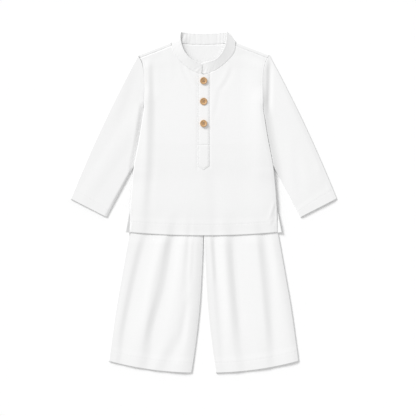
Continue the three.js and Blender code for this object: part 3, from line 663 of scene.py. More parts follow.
def hemmed_rows(hem_up, top_up, depth, step):
    """A panel's rows for each column: even above the hem's edge, then stretched to the panel's top."""
    hem_zone = depth + HEM_ZONE["above"]
    hem_rows = fine_steps(hem_zone, min(step, HEM_ZONE["step"]))
    body_length = float(np.mean(top_up - hem_up)) - hem_zone
    shares = np.linspace(0, 1, round(body_length / step) + 1)[1:]
    low = hem_up[None, :] + hem_rows[:, None]
    high = between(hem_up[None, :] + hem_zone, top_up[None, :], shares[:, None])
    return np.concatenate([low, high]), np.concatenate([np.zeros(len(hem_rows)), shares])


def hem_lift(over_hem, depth):
    """How far a hem's turned cloth lifts what lies over it, ending softly above its stitches."""
    return HEM_RISE * (1 - smooth_step(over_hem, depth - 2, depth + HEM_SPREAD))


def hem_stitching(along, from_stitches, start):
    """The groove and the puckers along a hem's row of stitches."""
    gathers = puckers(along, from_stitches, HEM_PUCKERS["reach"], HEM_PUCKERS["depth"], start=start)
    return gathers + seam_groove(from_stitches, STITCH_GROOVE["width"], STITCH_GROOVE["depth"])


def leg_places(step):
    """Distances out and up of a leg panel's grid, with each place's height over the hem's edge."""
    width = leg_edge("outer", 150) - leg_edge("inner", 150)
    shares = fine_steps(width, step) / width
    hem_up = leg_hem_up(shares)
    up, _ = hemmed_rows(hem_up, np.full_like(hem_up, LEG_TOP_UP), LEG_HEM["depth"], step)
    out = between(leg_edge("inner", up), leg_edge("outer", up), shares[None, :])
    return out, up, up - hem_up[None, :]


print("a leg's grid has", "%d rows of %d" % leg_places(GRID_STEP)[0].shape)

# %% [markdown]
# ## Trousers: the panels
#
# The back lies flat on the floor. The front lies on it, lifted by the folds, and turns down to it at the
# side seam and the inseam. Edges that face the lamp are crisp and lit. Those that face away roll down
# softly, which gives each leg its shaded side.

# %% Trouser panels
LIT_ROLL = 0.8
SHADED_ROLL = {"inner": 22, "outer": 15}
PRESSED = {"share": 0.5, "from": 272, "to": 300}  # the top's weight presses the folds under its hem
EDGE_HEIGHT = 1.35  # of the front's face where it meets the back
CREASE_FADE = 10  # creases end this far from an edge
SEAM_PUCKERS = {"inset": 3, "reach": 5, "depth": 0.06}


def rounded_side(distance, width):
    """Rises from 0 at an edge to 1 a width away, steepest at the edge."""
    share = np.clip(distance / width, 0, 1)
    return share * (2 - share)


def pressed_share(up):
    """How much of a fold is left where the top's weight lies on the trousers."""
    return 1 - PRESSED["share"] * smooth_step(up, PRESSED["from"], PRESSED["to"])


def leg_lift(leg, out, up):
    inner_roll, outer_roll = (
        (SHADED_ROLL["inner"], LIT_ROLL) if leg == "left" else (LIT_ROLL, SHADED_ROLL["outer"])
    )
    inner = rounded_side(out - leg_edge("inner", up), inner_roll)
    outer = rounded_side(leg_edge("outer", up) - out, outer_roll)
    return pressed_share(up) * inner * outer * fold_lift(LEG_FOLDS[leg], LEG_FOLD_LEVELS, out, up)


def trouser_front(leg):
    side = -1 if leg == "left" else 1
    out, up, over_hem = leg_places(GRID_STEP)
    from_inner, from_outer = out - leg_edge("inner", up), leg_edge("outer", up) - out
    from_edge = np.minimum(from_inner, from_outer)
    hem = hem_share(over_hem, LEG_HEM["depth"])
    creases = crease_lift(LEG_CREASES[leg], side * out, up) * smooth_step(from_edge, 0, CREASE_FADE)
    creases = creases * pressed_share(up)
    height = (
        2 * LAYER
        + hem_lift(over_hem, LEG_HEM["depth"])
        + SEAM_GAP
        + np.maximum(leg_lift(leg, out, up) + creases, 0)
        + hem_stitching(out, over_hem - LEG_HEM["depth"], 3 * side)
        + puckers(
            up,
            from_edge - SEAM_PUCKERS["inset"],
            SEAM_PUCKERS["reach"],
            SEAM_PUCKERS["depth"],
            start=11 * side,
        )
        - rolled_edge(over_hem, 0.6, 0.4)
    )
    height = between(height, EDGE_HEIGHT, rolled_edge(from_edge, 0.7, 1))
    outer = np.stack([side * out, up, height], axis=-1)
    if side < 0:
        outer = outer[:, ::-1]
        hem = hem[:, ::-1]
    inner = inner_face(outer, CLOTH + HEM_CLOTH * hem)
    return cloth_shell(
        f"leg_front_{leg}", outer, inner, cotton_plain_weave, f"trouser_front_{leg}"
    )


def trouser_back(leg):
    side = -1 if leg == "left" else 1
    out, up, over_hem = leg_places(2 * GRID_STEP)
    hem = hem_share(over_hem, LEG_HEM["depth"])
    from_edge = np.minimum(out - leg_edge("inner", up), leg_edge("outer", up) - out)
    under = hollow_under(f"leg_{leg}", side * out, up, from_edge)
    outer = np.stack([side * out, up, under], axis=-1)
    inner = np.stack([side * out, up, under + CLOTH + HEM_CLOTH * hem], axis=-1)
    return cloth_shell(
        f"leg_back_{leg}", outer, inner, cotton_plain_weave, f"trouser_back_{leg}"
    )


for leg in ("left", "right"):
    trouser_back(leg)
    trouser_front(leg)

# %% [markdown]
# ## The top's underside
#
# The top lies over the trousers and over the tucked edge of each sleeve, so it is lifted there and slopes
# down to the floor around them. Both of its layers follow the same height, which one function gives. Near
# the top's hem that height also follows the trousers' folds, which show through the thin cloth.

# %% Height under the top
WAIST_TOP_UP = 483
WAISTBAND_HALF = 110
TOP_HEM = {"up": 290, "rise": 7, "depth": 23}
SLIT_TOP_UP = 355.5
LEG_CREST = 1.9  # of the pressed folds at the top's hem
SLEEVE_RADIUS = 1.2
SLEEVE_MEETS_BODY_UP = 563
TROUSERS_LIFT = 2 * LAYER + SEAM_GAP + LEG_CREST + 0.1
HIP_LIFT = 4.1
HIP_UPS = (305, 350)
WAIST_LIFT = 4.9
WAIST_UPS = (WAIST_UP - 55, WAIST_UP - 2)
WAIST_SPREAD = {"out": 14, "below": 60}  # the lift is wider than the waistband and the hips narrow to it
FOLDS_SHOW_THROUGH = 0.8
FOLDS_FADE_UPS = (290, 350)
FOLDS_INSET = 12
LIFT_ENDS_UP = 640
RAMP_SOFTNESS = 0.4
BESIDE_TROUSERS = (-32, 75)  # from their edge, where the top slopes down to the floor
SLEEVE_TUCK_LIFT = 2 * SLEEVE_RADIUS + 0.5
SLEEVE_TUCK = {"ups": (385, 430), "outs": (84, 122), "over_seam": (7, 52)}
BODY_OUTLINE = {
    "up": [297, 355.5, 395, 439, 486, 531, 563, 594, 626, 653, 669],
    "front": [154.8, 153.4, 150.5, 145.8, 136.7, 129.2, 124.8, 123.9, 124.6, 129, 137.4],
    "back": [163.9, 153.4, 150.5, 145.8, 136.7, 129.2, 124.8, 123.9, 124.6, 129, 137.4],
}


def body_edge(side, up):
    return table_curve(BODY_OUTLINE, "up", side, up)


def body_underside(out, up):
    """How high the top's underside lies over the trousers and the tucked sleeves."""
    side_out, out = out, np.abs(out)
    narrowing = smooth_step(up, WAIST_UP - WAIST_SPREAD["below"], WAIST_UP)
    waist = WAISTBAND_HALF + WAIST_SPREAD["out"] * narrowing
    out_of_trousers = out - np.maximum(leg_edge("outer", up), waist)
    above_waist = np.clip((up - WAIST_TOP_UP) / (LIFT_ENDS_UP - WAIST_TOP_UP), 0, 1)
    crest = between(TROUSERS_LIFT, HIP_LIFT, smooth_step(up, *HIP_UPS))
    crest = between(crest, WAIST_LIFT, smooth_step(up, *WAIST_UPS))
    follows = FOLDS_SHOW_THROUGH * (1 - smooth_step(up, *FOLDS_FADE_UPS))
    for leg, on_leg in (("left", side_out < 0), ("right", side_out >= 0)):
        on_fold = np.maximum(out, leg_edge("inner", up) + FOLDS_INSET)
        fold_below = LEG_CREST - leg_lift(leg, on_fold, up)
        crest = crest - np.where(on_leg, follows * fold_below, 0)
    ramp = 1 - between(above_waist, smooth_step(above_waist, 0, 1), RAMP_SOFTNESS)
    over_trousers = crest * ramp * (1 - smooth_step(out_of_trousers, *BESIDE_TROUSERS))
    over_sleeve = (
        SLEEVE_TUCK_LIFT
        * (1 - smooth_step(up - SLEEVE_MEETS_BODY_UP, *SLEEVE_TUCK["over_seam"]))
        * smooth_step(up, *SLEEVE_TUCK["ups"])
        * smooth_step(out, *SLEEVE_TUCK["outs"])
    )
    return np.hypot(over_trousers, over_sleeve)


chest = body_underside(np.array([0.0]), np.array([500.0]))[0]
print("the chest lies", round(float(chest), 1), "mm over the floor")

# %% [markdown]
# ## Neckline and shoulders
#
# The shoulder is a straight slope between the neck point and the shoulder point. The seam that joins front
# and back lies forward of the fold, on a line parallel to it. Where such a line meets the neckline and the
# armhole is found by halving, which needs no formula for the curves.

# %% Neckline and shoulder lines
SHOULDER_SEAM = 7  # down from the fold
NECK_POINT = {"out": 68.7, "up": 695.5}
SHOULDER_POINT = {"out": 137.4, "up": 669}
FRONT_NECKLINE = {
    "out": [0, 15.8, 33.6, 52.9, 65.4, NECK_POINT["out"]],
    "up": [629, 633, 643.2, 660, 678.5, NECK_POINT["up"]],
}
SHOULDER_SLOPE = (SHOULDER_POINT["up"] - NECK_POINT["up"]) / (
    SHOULDER_POINT["out"] - NECK_POINT["out"]
)


def neckline_up(out):
    return table_curve(FRONT_NECKLINE, "out", "up", out)


def shoulder_line(out, distance):
    """Height of a line along the shoulder, a given distance down from the fold."""
    fall = distance * math.hypot(1, SHOULDER_SLOPE)
    return NECK_POINT["up"] + SHOULDER_SLOPE * (out - NECK_POINT["out"]) - fall


def halve_to(rising, low, high):
    """Where a rising function crosses zero, by halving."""
    for _ in range(40):
        middle = (low + high) / 2
        low, high = (middle, high) if rising(middle) < 0 else (low, middle)
    return (low + high) / 2


def shoulder_start(distance):
    return halve_to(
        lambda out: neckline_up(out) - shoulder_line(out, distance), 40, NECK_POINT["out"]
    )


def shoulder_end(distance):
    return halve_to(
        lambda out: out - body_edge("front", shoulder_line(out, distance)),
        110,
        SHOULDER_POINT["out"],
    )


print(
    "forward shoulder seam from",
    round(float(shoulder_start(SHOULDER_SEAM)), 1),
    "to",
    round(float(shoulder_end(SHOULDER_SEAM)), 1),
    "mm out",
)

# %% [markdown]
# ## The top's front and back
#
# Both body pieces use one net of columns, from side edge to side edge, that gathers towards the neckline
# and the shoulder. About half of the columns end on the neckline and the others on the shoulder seam. The
# front has a slot for the placket, with columns of its own.

# %% The body's net of columns
PLACKET_SLOT_HALF = 10
SLOT_COLUMNS = 11
NECK_SHARE = 0.48
BODY_STEP = 2.1
MEASURED_UP = 400  # where the net's width is measured


def body_columns(step):
    """A half's columns as shares, from the placket's slot to the side edge."""
    width = body_edge("front", MEASURED_UP) - PLACKET_SLOT_HALF
    neck_width, side_width = NECK_SHARE * width, (1 - NECK_SHARE) * width
    neck = np.linspace(0, NECK_SHARE, round(neck_width / step) + 1)
    side = between(NECK_SHARE, 1, fine_steps(side_width, step) / side_width)
    side = side[side > NECK_SHARE + 0.004]
    return np.concatenate([neck, side])


def body_grid(face, step, top_of):
    """The grid of a body piece: places out and up, the share of each row, and where the slot is."""
    shares = body_columns(step)
    middle = np.linspace(-PLACKET_SLOT_HALF, PLACKET_SLOT_HALF, SLOT_COLUMNS)[1:-1]
    half_top = top_of(shares)
    middle_top = top_of(np.zeros_like(middle), middle)
    width = body_edge(face, half_top[1]) - PLACKET_SLOT_HALF
    top_share = (half_top[0] - PLACKET_SLOT_HALF) / width
    hem_up = TOP_HEM["up"] + TOP_HEM["rise"] * shares**2

    columns = {
        "side": np.concatenate([-np.ones_like(shares), np.zeros_like(middle), np.ones_like(shares)]),
        "share": np.concatenate([shares[::-1], np.zeros_like(middle), shares]),
        "top_share": np.concatenate([top_share[::-1], np.zeros_like(middle), top_share]),
        "hem_up": np.concatenate([hem_up[::-1], np.full_like(middle, TOP_HEM["up"]), hem_up]),
        "top_up": np.concatenate([half_top[1][::-1], middle_top[1], half_top[1]]),
        "middle": np.concatenate([np.zeros_like(shares), middle, np.zeros_like(shares)]),
    }
    up, row_shares = hemmed_rows(columns["hem_up"], columns["top_up"], TOP_HEM["depth"], step)
    share = between(columns["share"][None, :], columns["top_share"][None, :], row_shares[:, None])
    half_out = PLACKET_SLOT_HALF + (body_edge(face, up) - PLACKET_SLOT_HALF) * share
    out = np.where(columns["side"] == 0, columns["middle"], columns["side"] * half_out)
    return out, up, row_shares, columns


def front_top_of(shares, middle=None):
    """Where the front's columns end: on the neckline, then along the shoulder seam."""
    if middle is not None:
        return middle, neckline_up(np.abs(middle))
    seam = SHOULDER_SEAM
    start, end = shoulder_start(seam), shoulder_end(seam)
    turn = np.clip(shares / NECK_SHARE, 0, 1) * math.pi / 2
    neck_out = between(PLACKET_SLOT_HALF, start, np.sin(turn))
    seam_out = between(start, end, (shares - NECK_SHARE) / (1 - NECK_SHARE))
    on_neck = shares < NECK_SHARE
    out = np.where(on_neck, neck_out, seam_out)
    return out, np.where(on_neck, neckline_up(neck_out), shoulder_line(seam_out, seam))


def top_hem(out, up):
    share = np.abs(out) / BODY_OUTLINE["front"][0]
    over_hem = up - (TOP_HEM["up"] + TOP_HEM["rise"] * share**2)
    return over_hem, hem_share(over_hem, TOP_HEM["depth"])


print("columns across half of the top:", len(body_columns(BODY_STEP)))

# %% [markdown]
# ## How high the front lies
#
# The front's height adds up what makes it: the things it lies on, two layers of cloth, the broad folds, the
# sharper creases, and a soft step at the hem. Beside the placket it dips on the lit side and has a groove
# on the other, which is how a stitched-down strip draws in thin cloth.

# %% Height of the front
PLACKET_BOX_UP = 477
PLACKET_HALF = 11.5
PLACKET_GROOVE = {"out": 12.3, "width": 1.1, "depth": 0.5, "from_up": 432}
PLACKET_DIP = {"reach": 4.6, "depth": 0.6, "ups": (425, 432)}
ARMHOLE_BLEND = 8
SHOULDER_FADE = 30
NECK_LIFT = {"height": 0.75, "ups": (560, 625), "outs": (66, 100)}
LEAST_LIFT = {"folds": 0.25, "creases": 0.1}
SIDE_CREASE_FADE = 8
LAYERS_AT_HEM = 1.2  # of the top's front and back, pressed thin there
PRESSED_OVER_HEM = 70
BODY_EDGE_ROLL = {"left": 0.8, "right": 8}
BODY_EDGE_SHARE = 0.7  # of the fold's height that its rolled edge keeps
BODY_FOLD_LEVELS = [290, 333, 375, 470, 585, 669]
BODY_FOLDS = [
    {"outs": [-154, -152, -150, -143, -123, -130], "heights": [0.6, 1.5, 1.9, 2.1, 2.1, 1.7]},
    {"outs": [-140, -139, -136, -126, -119, -121], "heights": [0.7, 1.6, 2.0, 2.2, 2.1, 1.6]},
    {"outs": [-106, -106, -104, -98, -100, -100], "heights": [0.4, 0.5, 0.5, 0.4, 0.4, 0.5]},
    {"outs": [-18, -18, -18, -18, -18, -18], "heights": [0.4, 1.1, 1.4, 1.1, 1.1, 1.0]},
    {"outs": [44, 44, 44, 44, 44, 44], "heights": [0.5, 0.9, 0.9, 0.9, 1.0, 1.0]},
    {"outs": [86, 84, 82, 78, 74, 76], "heights": [0.5, 0.9, 0.9, 1.0, 1.1, 1.0]},
    {"outs": [146, 144, 142, 134, 119, 122], "heights": [0.7, 1.5, 1.9, 2.3, 2.6, 2.0]},
]
# from out, from up, to out, to up, bow, width, ridge, roll
BODY_CREASES = [
    (-112, 655, -110, 575, 0, 5, 0, 0.35),
    (-112, 600, -123, 320, 4, 7, 0, 0.4),
    (14, 435, 21, 318, 0, 10, -0.3, 0.15),
    (57, 645, 31, 595, 3, 5, 0, 0.25),
    (31, 600, 20, 540, 0, 5, 0, 0.2),
    (-37, 650, -12, 612, -2, 4, 0, 0.35),
    (-50, 655, -26, 600, -2, 4, 0, 0.2),
    (153, 362, 139, 322, 0, 3, 0, 0.5),
    (150, 340, 142, 312, 0, 3, 0, 0.4),
]


def at_armhole(up):
    """1 where the sleeve is sewn to the body and 0 below."""
    return smooth_step(up - SLEEVE_MEETS_BODY_UP, -ARMHOLE_BLEND, ARMHOLE_BLEND)


def front_lift(out, up):
    from_edge = body_edge("front", up) - np.abs(out)
    roll = np.where(out < 0, BODY_EDGE_ROLL["left"], BODY_EDGE_ROLL["right"])
    kept = between(BODY_EDGE_SHARE, 1, at_armhole(up))
    edge = between(kept, 1, smooth_step(from_edge / roll, 0, 1))
    shoulder = smooth_step(shoulder_line(np.abs(out), SHOULDER_SEAM) - up, 0, SHOULDER_FADE)
    near_neck = smooth_step(up, *NECK_LIFT["ups"]) * (1 - smooth_step(np.abs(out), *NECK_LIFT["outs"]))
    folds = fold_lift(BODY_FOLDS, BODY_FOLD_LEVELS, out, up)
    lift = np.maximum(edge * shoulder * folds, NECK_LIFT["height"] * near_neck)
    return np.maximum(lift, LEAST_LIFT["folds"])


def front_height(out, up):
    """Height of the front's outer face, with its creases."""
    over_hem, _ = top_hem(out, up)
    from_edge = body_edge("front", up) - np.abs(out)
    creases = crease_lift(BODY_CREASES, out, up) * smooth_step(from_edge, 0, SIDE_CREASE_FADE)
    below_placket = np.minimum(up - PLACKET_GROOVE["from_up"], 0)
    beside_placket = np.hypot(np.abs(out) - PLACKET_GROOVE["out"], below_placket)
    lift = np.maximum(front_lift(out, up) + creases, LEAST_LIFT["creases"])
    groove = seam_groove(beside_placket, PLACKET_GROOVE["width"], PLACKET_GROOVE["depth"])
    from_placket = -PLACKET_HALF - out
    dip = PLACKET_DIP["depth"] * (1 - smooth_step(from_placket, 0, PLACKET_DIP["reach"]))
    dip = dip * (from_placket > 0) * smooth_step(up, *PLACKET_DIP["ups"])
    lift = lift + np.where(out < 0, -dip, groove)
    layers = between(LAYERS_AT_HEM, 2 * LAYER, smooth_step(over_hem, 0, PRESSED_OVER_HEM))
    under = body_underside(out, up)
    return under + layers + hem_lift(over_hem, TOP_HEM["depth"]) + SEAM_GAP + lift


print("the front's face is", round(float(front_height(np.array([40.0]), np.array([500.0]))[0]), 1), "mm up")

# %% [markdown]
# ## The top's front
#
# The front is one sheet on the net. Its side edges turn down to the back where they are sewn, stay open
# below the top of each slit, and reach into the seam along the armhole. The cells inside the slot are left
# out, because the placket closes it.

# %% Front of the top
SIDE_TURN = {"width": 0.7, "drop": 0.5}
SLIT_BLEND = 6
SEAM_REACH = 0.6  # the body and the sleeve each reach this far into their seam
SEAM_REACH_WIDTH = 3
SHOULDER_PUCKERS = {"reach": 6, "depth": 0.1, "out": 60}
TOP_HEM_ROLL = (1.8, 0.9)  # width and drop
SHOULDER_SEAM_ROLL = (1.5, 0.2)


def top_front():
    out, up, _, columns = body_grid("front", BODY_STEP, front_top_of)
    over_hem, hem = top_hem(out, up)
    from_edge = body_edge("front", up) - np.abs(out)
    under_seam = shoulder_line(np.abs(out), SHOULDER_SEAM) - up
    sewn = smooth_step(up - SLIT_TOP_UP, -SLIT_BLEND, SLIT_BLEND)
    armhole = at_armhole(up)
    open_height = front_height(out, up)
    dropped = open_height - SIDE_TURN["drop"]
    side_height = between(dropped, body_underside(out, up) + EDGE_HEIGHT, sewn)
    side_height = between(side_height, dropped, armhole)
    gathers = puckers(out, under_seam, SHOULDER_PUCKERS["reach"], SHOULDER_PUCKERS["depth"], start=2)
    height = (
        between(open_height, side_height, rolled_edge(from_edge, SIDE_TURN["width"], 1))
        + hem_stitching(out, over_hem - TOP_HEM["depth"], 5)
        + gathers * (np.abs(out) > SHOULDER_PUCKERS["out"])
        - rolled_edge(over_hem, *TOP_HEM_ROLL)
        - rolled_edge(under_seam, *SHOULDER_SEAM_ROLL)
    )
    into_seam = armhole * (1 - smooth_step(from_edge, 0, SEAM_REACH_WIDTH))
    seam_reach = SEAM_REACH * into_seam * np.sign(out)
    outer = np.stack([out + seam_reach, up, height], axis=-1)
    inner = inner_face(outer, CLOTH + HEM_CLOTH * hem)
    middle_up = up[:, len(columns["side"]) // 2]
    middle_cells = np.abs((out[:, :-1] + out[:, 1:]) / 2)[:-1] < PLACKET_SLOT_HALF
    slot_rows = (middle_up[:-1] >= PLACKET_BOX_UP)[:, None]
    return cloth_shell(
        "top_front_cloth",
        outer,
        inner,
        cotton_plain_weave,
        "top_front",
        keep=~(middle_cells & slot_rows),
    )


top_front()

# %% [markdown]
# ## The top's back
#
# The back is cut a little longer at the shoulders, so that it can fold over them to the front. The mesh
# follows that: its rows climb flat to the shoulder, turn over in a half circle, and come down to the seam.
# At the side slits it is wider than the front, so a strip of it shows, with its edge curled up. Inside the
# neck it rises towards the collar's free edge, most of all on the left, which shades the inside there.

# %% Back of the top, with its fold over the shoulder
COLLAR_EDGE = {
    "row": [0, 1, 2, 3, 4, 5, 6],
    "out": [0, 13, 26.5, 38, 44.6, 48, 46.8],
    "up": [652.5, 655, 661.5, 674, 688, 704, 717.2],
    "rise": [5.4, 5.8, 6.4, 6.8, 7.0, 6.8, 6.4],
}
NECK_CURL = {"left": 3.7, "right": 0.6, "reach": 19, "fades": 12}
BACK_NECK_UP = 691.5
FOLD_RADIUS = LAYER + SEAM_GAP / 2
SLIT_CURL = {"left": 0.5, "right": 0.2}  # how far the back's slit edges curl up for each mm that shows
SLIT_FADE = 22
SLIT_TUCK = 3  # the curl starts this far under the front


def neck_curl(out, up):
    """How far the cloth inside the neck opening rises towards the collar's free edge."""
    beyond = np.abs(out) - table_curve(COLLAR_EDGE, "up", "out", up)
    near = np.clip(1 + beyond / NECK_CURL["reach"], 0, 1) ** 2
    hidden = smooth_step(beyond, 1, NECK_CURL["fades"])
    height = np.where(out < 0, NECK_CURL["left"], NECK_CURL["right"])
    return height * near * (1 - hidden) * smooth_step(up, 650, 690)


def back_top_of(shares, middle=None):
    """Where the back's flat part ends: on the back neckline, then along the shoulder fold."""
    neck_out = shoulder_start(FOLD_RADIUS)
    neck_up = shoulder_line(neck_out, FOLD_RADIUS)
    if middle is not None:
        return middle, between(BACK_NECK_UP, neck_up, (middle / neck_out) ** 2)
    curve_out = between(PLACKET_SLOT_HALF, neck_out, shares / NECK_SHARE)
    seam_out = between(
        neck_out, shoulder_end(FOLD_RADIUS), (shares - NECK_SHARE) / (1 - NECK_SHARE)
    )
    on_neck = shares < NECK_SHARE
    curve_up = between(BACK_NECK_UP, neck_up, (curve_out / neck_out) ** 2)
    out = np.where(on_neck, curve_out, seam_out)
    return out, np.where(on_neck, curve_up, shoulder_line(seam_out, FOLD_RADIUS))


def top_back():
    out, up, _, columns = body_grid("back", 1.4 * BODY_STEP, back_top_of)
    _, hem = top_hem(out, up)
    below_slit = 1 - smooth_step(up, SLIT_TOP_UP - SLIT_FADE, SLIT_TOP_UP)
    tucked_edge = body_edge("front", up) - SLIT_TUCK
    slit_width = body_edge("back", up) - tucked_edge
    slit_share = smooth_step(np.abs(out) - tucked_edge, 0, np.maximum(slit_width, 1))
    curl = np.where(out < 0, SLIT_CURL["left"], SLIT_CURL["right"]) * below_slit * slit_width * slit_share
    from_edge = body_edge("back", up) - np.abs(out)
    under = body_underside(out, up) + curl + hollow_under("body", out, up, from_edge) + neck_curl(out, up)
    flat_outer = np.stack([out, up, under], axis=-1)
    flat_inner = np.stack([out, up, under + CLOTH + HEM_CLOTH * hem], axis=-1)

    along = np.clip((columns["share"] - NECK_SHARE) / (1 - NECK_SHARE), 0, 1)
    turns = [(angle, FOLD_RADIUS * (1 - math.sin(angle))) for angle in np.linspace(0, math.pi, 11)[1:]]
    turns += [(math.pi, distance) for distance in np.linspace(FOLD_RADIUS, SHOULDER_SEAM, 6)[1:]]
    fold_outer, fold_inner = [], []
    for angle, place in turns:
        for radius, rows in ((FOLD_RADIUS, fold_outer), (FOLD_RADIUS - CLOTH, fold_inner)):
            distance = place + (FOLD_RADIUS - radius) * math.sin(angle)
            reach = max(distance, 0)
            row_out = between(shoulder_start(reach), shoulder_end(reach), along)
            rise = 0.1 * smooth_step(place, FOLD_RADIUS + 1, SHOULDER_SEAM)
            row_height = FOLD_RADIUS - radius * math.cos(angle) + rise
            rows.append(
                np.stack(
                    [
                        columns["side"] * row_out,
                        shoulder_line(row_out, distance),
                        np.full_like(row_out, row_height),
                    ],
                    axis=-1,
                )
            )
    outer = np.concatenate([flat_outer, fold_outer])
    inner = np.concatenate([flat_inner, fold_inner])
    on_shoulder = np.minimum(columns["share"][:-1], columns["share"][1:]) >= NECK_SHARE - 1e-6
    flat_rows = np.arange(len(outer) - 1) < len(out) - 1
    keep = flat_rows[:, None] | on_shoulder[None, :]
    return cloth_shell("top_back_cloth", outer, inner, cotton_plain_weave, "top_back", keep=keep)


top_back()

# %% [markdown]
# ## The placket
#
# Two strips close the front. The under one lies in the slot and carries the buttons. The upper one covers
# it, is stitched down along its edges, and ends in a point below a stitched box. Round each fastened button
# its cloth is drawn up a little.

# %% Placket strips
PLACKET_POINT = {"up": 428, "drop": 8.5}
PLACKET_RISE = 0.75
PLACKET_ROW = 2.0  # its stitches run this far from its edge
PLACKET_BOX_ROW = PLACKET_BOX_UP + 3
PLACKET_PUCKERS = {"reach": 2, "depth": 0.12}
PLACKET_STITCH_GROOVE = (0.9, 0.34)  # width and depth
PLACKET_ROLLS = {"left": (0.3, 0.4), "right": (0.9, 1)}  # width, and share of the edge's drop
BUTTON_NODES = ("button_top", "button_middle", "button_bottom")
BUTTON_THICKNESS = 3.0
BUTTON_CLEARANCE = 0.2  # of thread between a button and the cloth
BUTTON_HUMP = (2, 10)  # distances from its middle between which the cloth rises to a button
COLLAR_GAP = -0.4  # the collar's edge is sewn down just over the neckline
STRIP_STEP = 1.0


def placket_height(out, up):
    """Height of the upper strip's face above the floor, with the cloth drawn up to each button."""
    height = front_height(out, up) + PLACKET_RISE
    for node in BUTTON_NODES:
        low, high = (np.array(corner) / MM + [0, UP_AT_ORIGIN, 0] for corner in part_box(node))
        middle = (low + high) / 2
        under = middle[2] - BUTTON_THICKNESS / 2 - BUTTON_CLEARANCE
        rise = under - front_height(np.array([0.0]), np.array([middle[1]]))[0] - PLACKET_RISE
        distance = np.hypot(out, up - middle[1])
        height = height + rise * (1 - smooth_step(distance, *BUTTON_HUMP))
    return height


def placket_strip(name, node, half, low_up, high_up, height_at, drop, box_depth):
    columns = fine_steps(2 * half, STRIP_STEP, 0.25) - half
    length = float(np.mean(high_up(columns) - low_up(columns)))
    rows = fine_steps(length, STRIP_STEP, 0.25) / length
    up = between(low_up(columns)[None, :], high_up(columns)[None, :], rows[:, None])
    out = np.broadcast_to(columns, up.shape)
    from_edge = np.minimum(half - np.abs(out), up - low_up(columns)[None, :])
    from_row = from_edge - PLACKET_ROW
    roll_width, roll_share = (
        np.where(out < 0, left, right) for left, right in zip(PLACKET_ROLLS["left"], PLACKET_ROLLS["right"])
    )
    height = (
        height_at(out, up)
        + puckers(up, from_row, PLACKET_PUCKERS["reach"], PLACKET_PUCKERS["depth"], start=half)
        + seam_groove(from_row, *PLACKET_STITCH_GROOVE)
        + seam_groove(up - PLACKET_BOX_ROW, 1.1, box_depth)
        - rolled_edge(from_edge, roll_width, roll_share * drop)
    )
    outer = np.stack([out, up, height], axis=-1)
    return cloth_shell(name, outer, inner_face(outer, CLOTH), cotton_plain_weave, node)


def collar_side_up(out):
    return neckline_up(np.abs(out)) + COLLAR_GAP - 0.1


placket_strip(
    "placket_under_strip",
    "placket_under",
    PLACKET_SLOT_HALF - SEAM_GAP,
    lambda out: np.full_like(out, PLACKET_BOX_UP + 1.6),
    collar_side_up,
    front_height,
    drop=0.1,
    box_depth=0,
)
placket_strip(
    "placket_upper_strip",
    "placket_over",
    PLACKET_HALF,
    lambda out: PLACKET_POINT["up"] + PLACKET_POINT["drop"] * np.abs(out) / PLACKET_HALF,
    collar_side_up,
    placket_height,
    drop=0.75,
    box_depth=0.5,
)

# %% [markdown]
# ## The collar
#
# The collar is a straight band that stands round the neck. Laid flat it is pressed over, so its front half
# rises towards its free edge and its back half lies under the neck opening. It is worked out as two lines,
# the seam and the free edge, which run from the opening round to the middle of the back. The left end laps
# over the right one, and each half turns from front to back in a half circle.

# %% The collar's seam and its free edge
COLLAR_CLOTH = 1.2
COLLAR_SEAM_RISE = {"front": 3.0, "back": 0.62}
COLLAR_BACK_EDGE = {"up": 714.3, "rise": 1.1}
COLLAR_CORNER = {"sweep": 7, "drop": 5}
COLLAR_ENDS = {"left": 2.6, "right": -9}  # how far each end stops before the middle line or passes it
COLLAR_LAP_DROP = {"left": 0.3, "right": 1.1}  # the right end lies under the left one
COLLAR_LAP_REACH = {"left": (0, 7), "right": (6, 17)}  # from each end
COLLAR_COUNTS = {"front": 70, "corner": 13, "back": 64}  # points along each stretch


def half_turn(centre, outward, radius, count):
    """Points on a half circle that leads from above the centre round to below it."""
    angles = np.linspace(math.pi / 2, -math.pi / 2, count)
    return np.array(
        [centre + radius * (math.cos(a) * outward + math.sin(a) * np.array([0, 0, 1])) for a in angles]
    )


